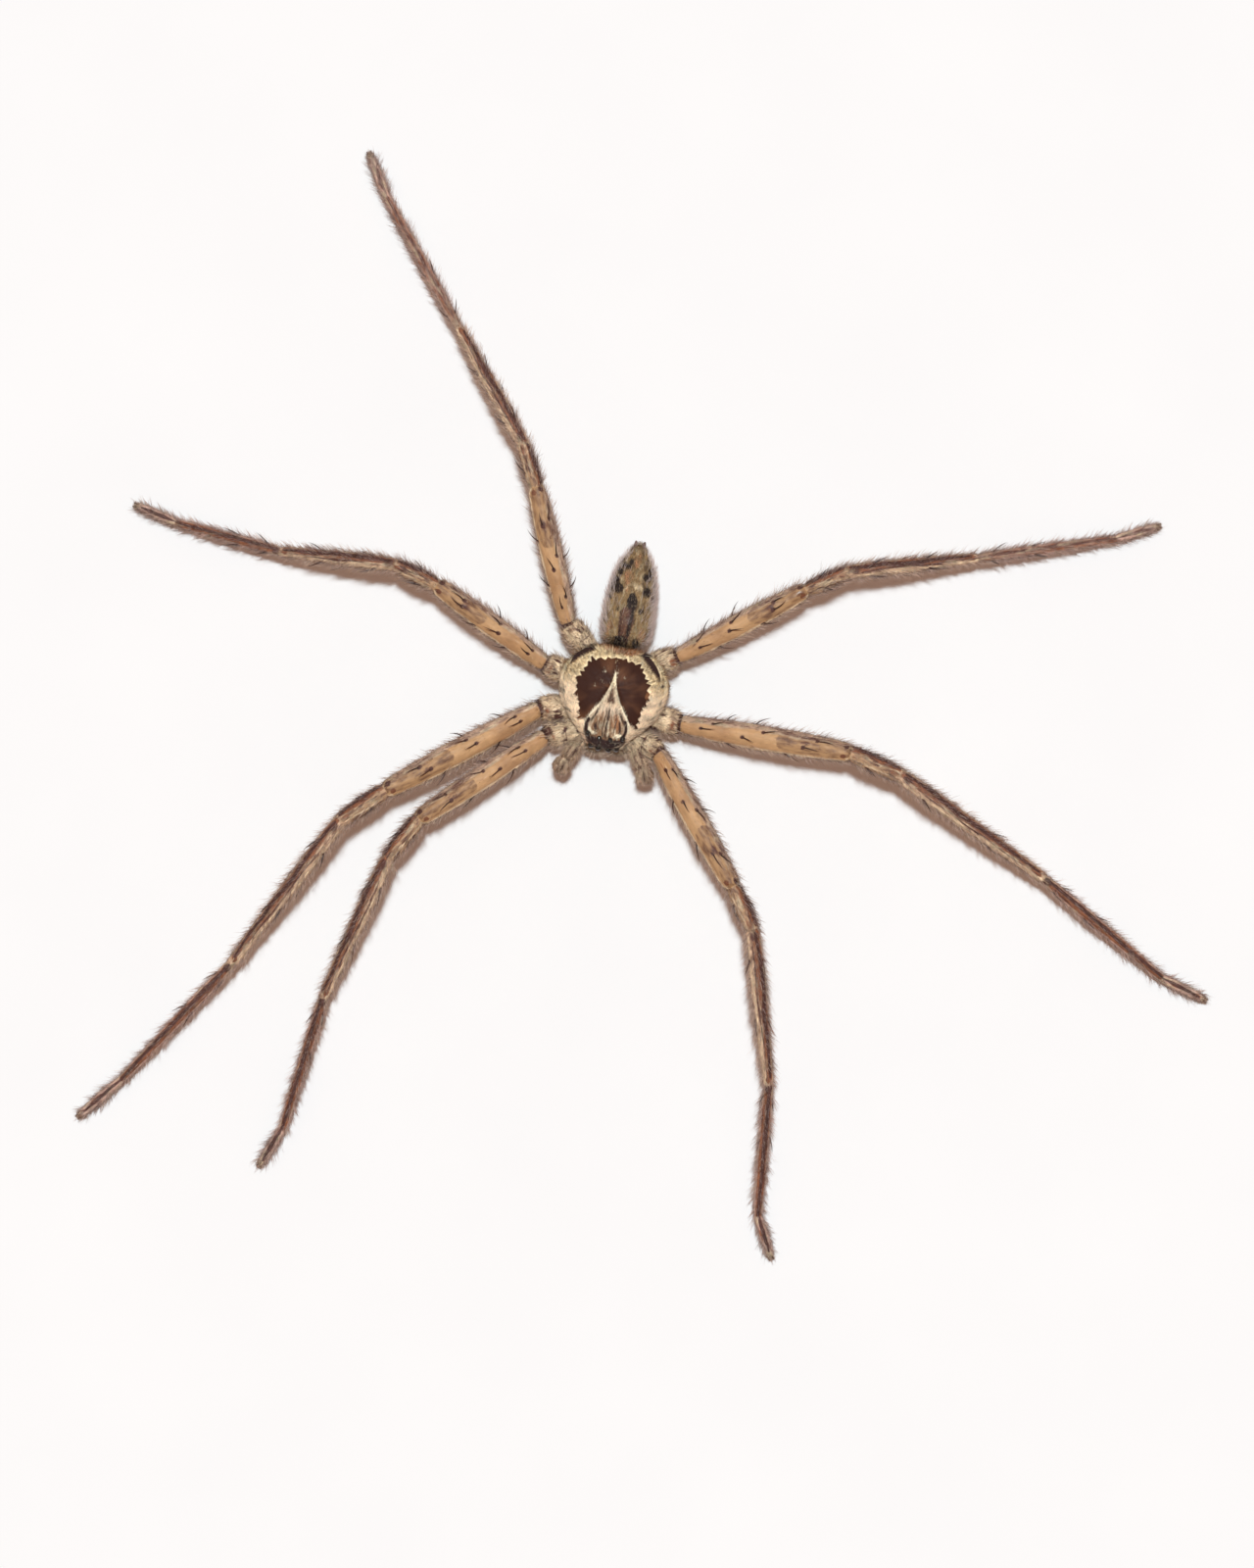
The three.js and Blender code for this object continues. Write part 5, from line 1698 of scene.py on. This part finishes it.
@dataclass
class Leg:
    """One leg from its hip to its claws: its root in plan, and each piece's run and bearing."""

    pair: int
    side: Side
    root: tuple[float, float]
    runs: Row = ()
    bearings: Row = ()
    coat: float = 0.06
    step: float = 0.13
    sides: int = 40
    blunt: float = 0.36
    soft_reach: int = 4
    softness: float = 1.6
    joint_reach: float = 0.2
    spine_radii: Row = (0.07, 0.06, 0.05, 0.038, 0.022, 0)
    claw_radii: Row = (0.07, 0.055, 0.035, 0)

    def __post_init__(self) -> None:
        """Works out the joints and sets the spines."""
        build = PAIRS[self.pair]
        hip, root, *others = build.heights
        x, y = self.root
        joints = [(self.side.value * build.hip[0], build.hip[1], hip), (x, y, root)]
        for run, bearing, height in zip(self.runs, self.bearings, others):
            angle = math.radians(bearing)
            x, y = x + run * math.cos(angle), y + run * math.sin(angle)
            joints.append((x, y, height))
        self.joints = np.array(joints)
        self.name = f"leg{self.pair}_{self.side.word}"
        self.segments = SEGMENTS[: len(joints) - 1]
        self.seed = SEED + PAIR_SEED * self.pair + LEFT_SEED * (self.side is Side.LEFT)
        rng = np.random.default_rng(self.seed)
        self.spines = [
            Spine(
                row.piece,
                share + rng.uniform(-STRAY_ALONG, STRAY_ALONG),
                90 - self.side.value * (row.around + rng.uniform(-STRAY_AROUND, STRAY_AROUND)),
                row.lift + build.spine_rise + rng.uniform(*STRAY_LIFT),
                rng.uniform(-STRAY_DRIFT, STRAY_DRIFT),
                rng.uniform(*SPINE_REACH),
            )
            for row in SPINE_ROWS
            if row.piece.value < len(self.segments)
            for share in row.along
        ]

    def line(self) -> tuple[Array, Array, Array]:
        """The middle line as points, each with its piece and share of it, and its radius."""
        points, along, radii = [], [], []
        build = PAIRS[self.pair].build
        for i, segment in enumerate(self.segments):
            start, end = self.joints[i], self.joints[i + 1]
            way = unit(end - start)
            lift = unit(UP - way * way[2])
            count = max(8, round(float(np.linalg.norm(end - start)) / self.step))
            t = (np.arange(count) + 0.5) / count
            bow = segment.bow * np.sin(math.pi * t)
            points.append(start + (end - start) * t[:, None] + lift * bow[:, None])
            along.append(i + t)
            knots = np.linspace(0, 1, len(segment.radii))
            radii.append(spline(t, knots, segment.radii) * build - self.coat)
        points, along, radii = np.concatenate(points), np.concatenate(along), np.concatenate(radii)
        return self.softened(points), along, radii

    def softened(self, points: Array) -> Array:
        """The middle line with its corners rounded off."""
        reach = self.soft_reach
        kernel = np.exp(-0.5 * (np.arange(-reach, reach + 1) / self.softness) ** 2)
        kernel /= kernel.sum()
        padded = np.concatenate([np.repeat(points[:1], reach, 0), points, np.repeat(points[-1:], reach, 0)])
        return np.stack([np.convolve(padded[:, k], kernel, "valid") for k in range(3)], axis=1)

    def sleeve(self) -> Sleeve:
        """The skin of the whole leg, drawn in at its joints."""
        points, along, radii = self.line()
        run = run_along(points)
        for i, segment in enumerate(self.segments):
            joint = np.interp(i, along, run)
            radii = radii * (1 - segment.waist * bell(run, joint, self.joint_reach) * (i > 0))
        radii = radii * rounded(run[-1] - run, self.blunt)
        rings, out = tube(points, radii, self.sides)
        rings = rings + out * (0.02 * ripple(rings, 0.9, self.pair)[..., None])
        rings[0], rings[-1] = points[0], points[-1]
        rings[..., 2] = np.maximum(rings[..., 2], FLOOR_GAP)
        angle = ring_angles(self.sides)
        paint = self.painted(along, run, radii, angle)
        hips = np.where(along < 1, 1.0, 0.0)[:, None] * (np.sin(angle)[None] > 0)
        spots: Marks = [Spot(centre, halves, turn=turn) for centre, halves, turn in HIP_SPOTS]
        paint["spot"] = hips * inked(rings[..., :2], spots, 0.06)
        paint["dark"] = np.maximum(paint["dark"], paint["spot"])
        return Sleeve(f"skin_{self.name}", rings, paint, strips=7)

    def painted(self, along: Array, run: Array, radii: Array, angle: Array) -> Fields:
        """The markings, laid out along each piece and round from its top towards its leading side."""
        lead = np.arctan2(self.side.value * np.cos(angle), np.sin(angle))
        shape = (len(along), len(angle))
        paint = {name: np.zeros(shape) for name in PAINTS}
        piece = np.floor(np.clip(along, 0, len(self.segments) - 1e-6)).astype(int)
        rng = np.random.default_rng(self.seed + 1)
        for i in range(len(self.segments)):
            rows = np.flatnonzero(piece == i)
            local = run[rows] - run[rows[0]]
            girth = math.pi * float(radii[rows].mean())
            arc = np.broadcast_to(lead[None] / math.pi * girth, (len(rows), len(angle)))
            flat = np.stack([np.broadcast_to(local[:, None], arc.shape), arc], axis=-1)
            for name, marks in self.marks(Order(i), float(local[-1]), girth, rng).items():
                paint[name][rows] = inked(flat, marks, BARE_BLUR if name == "bare" else MARK_BLUR)
        paint["zone"] = np.broadcast_to((along / len(SEGMENTS))[:, None], shape).copy()
        return paint

    def marks(self, piece: Order, length: float, around: float, rng: Draws) -> dict[str, Marks]:
        """The marks of one piece, in millimetres along it and round from its top.

        Args:
            piece: Which piece.
            length: Its length.
            around: Half its girth.
            rng: Where the random draws come from.

        Returns:
            The marks for each paint.
        """
        found: dict[str, Marks] = {name: [] for name in PAINTS}
        dusk = PAIRS[self.pair].dusk if piece.value > Order.TIBIA.value else 1
        for mark in LEG_MARKS[piece]:
            strength = min(1.0, mark.strength * dusk)
            lines = mark.marks(length, around, rng)
            found[mark.paint] += [replace(line, strength=strength) for line in lines]
        for spine in self.spines:
            if spine.piece is piece:
                arc = (90 - spine.around) * self.side.value / 180 * around
                found["dark"].append(Spot((length * spine.share, arc), SOCKET, 0.95))
        return {name: marks for name, marks in found.items() if marks}

    def on_skin(self, sleeve: Sleeve, piece: Order, share: float, around: float) -> tuple[Array, ...]:
        """A place on the leg: its point, the way out of the skin and the way along it."""
        zone = sleeve.paint["zone"][:, 0] * len(SEGMENTS)
        row = np.interp(piece.value + share, zone, np.arange(len(zone)))
        column = (around % 360) / 360 * self.sides
        point, out, way = sleeve.stand(np.array([row]), np.array([column]))
        return point[0], out[0], way[0]

    def spine_horns(self, sleeve: Sleeve) -> list[Horn]:
        """The leg's spines: long, thin, curved and sharp."""
        horns = []
        t = np.linspace(0, 1, len(self.spine_radii))[:, None]
        for spine in self.spines:
            point, out, way = self.on_skin(sleeve, spine.piece, spine.share, spine.around)
            rise = math.radians(spine.lift) * (1.2 - 0.45 * t)
            drift = np.cross(out, way) * spine.drift * t
            line = point - out * 0.08 + (way * np.cos(rise) + out * np.sin(rise) + drift) * spine.reach * t
            horns.append(Horn(line, self.spine_radii))
        return horns

    def claws(self) -> list[Horn]:
        """The two small hooked claws at the tip."""
        tip = self.joints[-1]
        way = unit((self.joints[-1] - self.joints[-2]) * np.array([1, 1, 0]))
        side = np.cross(way, UP)
        horns = []
        for sign in (-1, 1):
            root = tip + side * sign * 0.1 - way * 0.2 + UP * 0.02
            bends = ((0.0, 0.0), (0.2, 0.1), (0.4, 0.05), (0.48, -0.14))
            line = np.array([root + way * on + UP * over for on, over in bends])
            horns.append(Horn(line + side * sign * 0.05, self.claw_radii))
        return horns

    def growth(self, sleeve: Sleeve) -> list[tuple[Pile, Array]]:
        """Each kind of hair on the leg and how thickly it stands."""
        zone = sleeve.paint["zone"] * len(SEGMENTS)
        shell, clear = 1 - sleeve.paint["bare"], 1 - sleeve.paint["spot"]
        whole = len(self.segments) > 1
        furred = (1 - 0.8 * sleeve.paint["bare"]) * clear
        hip = ramp(zone, 1.05, -0.1) * np.clip(zone * 3 - 0.6, 0, 1) * clear
        piles = [(LEG_NAP if whole else STUMP_NAP, furred), (HIP_SHAG, hip)]
        if whole:
            low = -np.sin(ring_angles(self.sides))[None] + zone * 0
            outer = np.clip((zone - 1.2) / 1.2, 0.6, 1)
            flank = 0.25 + (1 - low**2) ** 2
            piles += [
                (LEG_FRINGE, outer * flank * shell),
                (LEG_COMB, outer * flank * shell * flank),
                (LEG_WHISKERS, outer * bell(zone, 3.1, 0.9) + 0.02),
                (FOOT_PAD, ramp(zone, 4.2, 0.4) * np.clip(low * 1.5 + 0.2, 0, 1)),
                (FOOT_BRUSH, ramp(zone, 5.86, 0.08)),
            ]
        return piles

    def build(self, skin: Material, hair: Material, horn: Material) -> None:
        """Builds the leg's skin, spines, claws and hair."""
        sleeve = self.sleeve()
        nodes = [f"{self.name}_{segment.name}" for segment in self.segments]
        slot = "femur" if len(self.segments) > 1 else "coxa"
        sleeve.build(Wear(skin, slot), nodes)
        if len(self.segments) > 1:
            horn_piece(f"spines_{self.name}", self.spine_horns(sleeve), Wear(horn, "femur"))
            horn_piece(f"claws_{self.name}", self.claws(), Wear(horn, "foot"))
        tufts = Tufts()
        for pile, thick in self.growth(sleeve):
            tufts.plant(sleeve, pile, thick, self.seed)
        tufts.build(f"coat_{self.name}", Wear(hair, slot))


LEGS = (
    Leg(1, Side.RIGHT, (-4.81, -3.61), (11.9, 3.9, 12.3, 11.0, 3.5), (-140, -121.5, -108.5, -101, -115.5)),
    Leg(1, Side.LEFT, (4.12, -3.86), (12.1, 3.6, 12.5, 10.6, 3.5), (-54, -58.5, -77, -87.5, -65.5)),
    Leg(2, Side.RIGHT, (-5.57, -1.5), (13.7, 4.2, 14.4, 12.9, 4.5), (-145, -139.5, -121, -127, -133)),
    Leg(2, Side.LEFT, (5.61, -1.4), (13.6, 4.2, 14.1, 12.5, 3.9), (-3, -17.5, -28.5, -33, -20)),
    Leg(3, Side.RIGHT, (-5.55, 2.05), (10.5, 3.6, 9.3, 8.8, 3.5), (151, 160.5, 179.5, 171, 163.5)),
    Leg(4, Side.RIGHT, (-4.12, 5.43), (11.0, 3.5, 10.7, 12.0, 3.8), (110, 114, 125.5, 125.5, 118.5)),
    Leg(4, Side.LEFT, (4.74, 3.83), (11.4, 3.5, 10.5, 11.3, 3.6), (34, 30.5, 13.5, 15, 23.5)),
    Leg(3, Side.LEFT, (4.45, 1.4)),
)


# Mouthparts


JAW_NAP = Pile(2600, 0, length=0.3, width=0.05, lift=12, sway=10)
JAW_BRISTLES = Pile(200, 5, length=0.9, width=0.03, lift=42, joints=3, sway=24, bend=0.5, fade=0.6)
PALP_NAP = Pile(4600, 0, length=0.32, width=0.05, lift=16)
PALP_HAIR = Pile(420, 5, length=0.65, width=0.035, lift=32, joints=3, sway=20, bend=0.5, fade=0.2)
JAW_SEED = SEED + 300
PALP_SEED = SEED + 320


@dataclass
class Jaw:
    """A chelicera with its fang, by levels of height, place along Y and half width and depth."""

    side: Side
    levels: Table = (
        (3.73, -3.92, 0.64, 0.38), (3.5, -3.95, 0.79, 0.45), (3.0, -3.95, 0.83, 0.45),
        (2.3, -3.92, 0.81, 0.44), (1.7, -3.87, 0.64, 0.4), (1.4, -3.82, 0.42, 0.32),
    )
    x: float = 0.9
    length: float = 2.33
    coat: float = 0.01
    rows: int = 60
    sides: int = 48
    fang: Table = (
        (0.1, -3.9, 1.75), (0.05, -3.98, 1.4), (-0.1, -3.95, 1.15), (-0.32, -3.8, 1.03),
        (-0.55, -3.6, 1.1),
    )
    fang_radii: Row = (0.2, 0.19, 0.15, 0.09, 0)

    def sleeve(self) -> Sleeve:
        """The jaw's skin from its top to its tip."""
        table = np.array(self.levels)
        place = np.linspace(0, 1, self.rows)
        knots = np.linspace(0, 1, len(table))
        z, y, half, depth = (spline(place, knots, table[:, k]) for k in range(4))
        run = (z[0] - z) / (z[0] - z[-1]) * self.length
        close = rounded(np.minimum(run, run[-1] - run), 0.35)
        angle = ring_angles(self.sides)[None]
        x = self.side.value * self.x + np.cos(angle) * ((half - self.coat) * close)[:, None]
        y = y[:, None] - np.sin(angle) * ((depth - self.coat) * close)[:, None]
        rings = np.stack([x, y, np.broadcast_to(z[:, None], x.shape)], axis=-1)
        zone = np.broadcast_to(place[:, None], x.shape).copy()
        paint = {"zone": zone, "dark": np.clip((zone - 0.8) * 3, 0, 0.8)}
        return Sleeve(f"skin_chelicera_{self.side.word}", rings, paint)

    def fang_horn(self) -> Horn:
        """The fang, folded inwards across the tip."""
        line = np.array([(self.side.value * (self.x + x), y, z) for x, y, z in self.fang])
        return Horn(line, self.fang_radii)

    def build(self, skin: Wear, hair: Wear, horn: Wear) -> None:
        """Builds the jaw, fang and hair."""
        sleeve = self.sleeve()
        sleeve.build(skin, [f"chelicera_{self.side.word}"])
        horn_piece(f"fang_{self.side.word}", [self.fang_horn()], horn, 12)
        tufts = Tufts()
        for pile in (JAW_NAP, JAW_BRISTLES):
            tufts.plant(sleeve, pile, np.ones(sleeve.rings.shape[:2]), JAW_SEED + self.side.value)
        tufts.build(f"coat_chelicera_{self.side.word}", hair)


PALP_MARKS: Marks = [
    Stroke(((3.1, -5.5), (3.3, -6.1)), 0.12, 0.8),
    Stroke(((3.5, -5.7), (3.6, -6.3)), 0.08, 0.7),
    Stroke(((2.8, -5.0), (3.0, -5.3)), 0.1, 0.8),
    Stroke(((1.9, -3.6), (2.2, -4.2), (2.5, -4.8)), 0.08, 0.9),
    Stroke(((2.45, -3.7), (2.85, -4.4), (3.0, -4.85)), 0.07, 0.9),
    Stroke(((2.62, -4.9), (2.8, -5.5)), 0.07, 0.8),
    Stroke(((3.3, -5.0), (3.55, -5.6)), 0.07, 0.8),
]


@dataclass
class Palp:
    """A palp with the swollen last piece that the male carries."""

    side: Side
    points: Table = (
        (1.5, -3.1, 2.85), (2.25, -3.9, 3.45), (2.75, -4.7, 3.8), (3.0, -5.15, 3.8), (3.2, -5.55, 3.72),
        (3.38, -5.95, 3.52), (3.48, -6.2, 3.3),
    )
    radii: Row = (0.44, 0.53, 0.59, 0.57, 0.68, 0.7, 0.5)
    coat: float = 0.06
    rows: int = 80
    sides: int = 36

    def sleeve(self) -> Sleeve:
        """The palp's skin, drawn in before its last piece."""
        line = np.array([(self.side.value * x, y, z) for x, y, z in self.points])
        knots = run_along(line)
        run = np.linspace(0, knots[-1], self.rows)
        radii = spline(run, knots, self.radii) - self.coat
        for joint in (knots[1], knots[3]):
            radii *= 1 - 0.16 * bell(run, joint, 0.14)
        radii *= rounded(run[-1] - run, 0.4)
        points = spline(run, knots, line)
        rings = tube(points, radii, self.sides)[0]
        rings[0], rings[-1] = points[0], points[-1]
        zone = np.broadcast_to((0.165 + 0.01 * run / run[-1])[:, None], rings.shape[:2]).copy()
        flat = rings[..., :2] * np.array([self.side.value, 1])
        dark = inked(flat, PALP_MARKS, 0.12) * (np.sin(ring_angles(self.sides))[None] > 0)
        return Sleeve(f"skin_pedipalp_{self.side.word}", rings, {"zone": zone, "dark": dark})

    def build(self, skin: Wear, hair: Wear) -> None:
        """Builds the palp and its hair."""
        sleeve = self.sleeve()
        sleeve.build(skin, [f"pedipalp_{self.side.word}", f"cymbium_{self.side.word}"])
        tufts = Tufts()
        for pile in (PALP_NAP, PALP_HAIR):
            tufts.plant(sleeve, pile, np.ones(sleeve.rings.shape[:2]), PALP_SEED + self.side.value)
        tufts.build(f"coat_pedipalp_{self.side.word}", hair)


# Studio


@dataclass
class Studio:
    """The pale floor, the lights and the camera that looks straight down."""

    eye_height: float = 350.0
    eye_place: tuple[float, float] = (-1.1751, -6.2375)
    frame_height: float = 125.0
    key_tilt: float = 9.8
    key_spread: float = 4.64
    key_power: float = 3.135
    key_colour: Colour = (0.825, 0.935, 0.985)
    fill_colour: Colour = (0.31, 0.185, 0.135)
    sky_colour: Colour = (0.93, 0.92, 0.91)
    floor_half: float = 4000.0
    floor_tints: tuple[Colour, Colour] = ((0.86, 0.85, 0.845), (0.9, 0.89, 0.88))

    def floor(self) -> None:
        """A pale matt floor with a faint tooth."""
        bm = bmesh.new()
        bmesh.ops.create_grid(bm, x_segments=4, y_segments=4, size=self.floor_half * MM)
        material, nodes, shader = fresh_material("floor_paint")
        tooth = nodes.noise(nodes.place(), 60.0, 3.0)
        nodes.link(nodes.mix(tooth, *self.floor_tints), shader["Base Color"])
        shader["Roughness"].default_value = 0.9
        mesh = finished("floor", bm)
        mesh.materials.append(material)
        placed("floor", mesh)

    def light(self) -> None:
        """One soft key from beyond the abdomen, and an even pale fill all round."""
        tilt = math.radians(self.key_tilt)
        way = Vector((0, math.sin(tilt), math.cos(tilt)))
        lamp = bpy.data.lights.new("key", "SUN")
        lamp.angle = math.radians(self.key_spread)
        lamp.energy = self.key_power
        lamp.color = self.key_colour
        key = placed("key", lamp)
        key.rotation_mode = "QUATERNION"
        key.rotation_quaternion = way.to_track_quat("Z", "Y")
        world = bpy.data.worlds.new("studio")
        bpy.context.scene.world = world
        world.use_nodes = True
        nodes = Nodes(world.node_tree)
        fill = world.node_tree.nodes["Background"]
        fill.inputs["Color"].default_value = shown(self.fill_colour)
        sky = nodes.add("ShaderNodeBackground", {"Color": shown(self.sky_colour)})
        seen = nodes.add("ShaderNodeLightPath").outputs["Is Camera Ray"]
        both = nodes.add("ShaderNodeMixShader", {0: seen, 1: fill.outputs[0], 2: sky.outputs[0]})
        nodes.link(both.outputs[0], world.node_tree.nodes["World Output"].inputs["Surface"])

    def camera(self) -> None:
        """The camera at the photograph's place."""
        data = bpy.data.cameras.new("camera")
        data.sensor_width = 36.0
        data.lens = data.sensor_width * self.eye_height / self.frame_height
        data.clip_start, data.clip_end = 0.01, 10.0
        camera = placed("camera", data)
        camera.location = [value * MM for value in (*self.eye_place, self.eye_height)]
        bpy.context.scene.camera = camera

    def build(self) -> None:
        """Builds the floor, lights and camera."""
        self.floor()
        self.light()
        self.camera()
        bpy.context.scene.view_settings.view_transform = "Standard"


def main() -> None:
    """Builds the spider piece by piece and the studio round it."""
    logging.basicConfig(level=logging.INFO, format="%(name)s %(message)s")
    markings_group()
    FrontBody().build(BODY_FINISH)
    Abdomen().build(ABDOMEN_FINISH)
    leg_skin, leg_hair, spine_horn = LEG_FINISH.skin(), LEG_FINISH.coat(), SPINE_FINISH.material()
    for leg in LEGS:
        leg.build(leg_skin, leg_hair, spine_horn)
    materials = SHADED_FACE_FINISH.skin(), SHADED_FACE_FINISH.coat(), FANG_FINISH.material()
    jaw_wear = [Wear(material, "chelicera") for material in materials]
    palp_wear = [Wear(material, "pedipalp") for material in (leg_skin, leg_hair)]
    for side in Side:
        Jaw(side).build(*jaw_wear)
        Palp(side).build(*palp_wear)
    Studio().build()


if __name__ == "__main__":
    main()
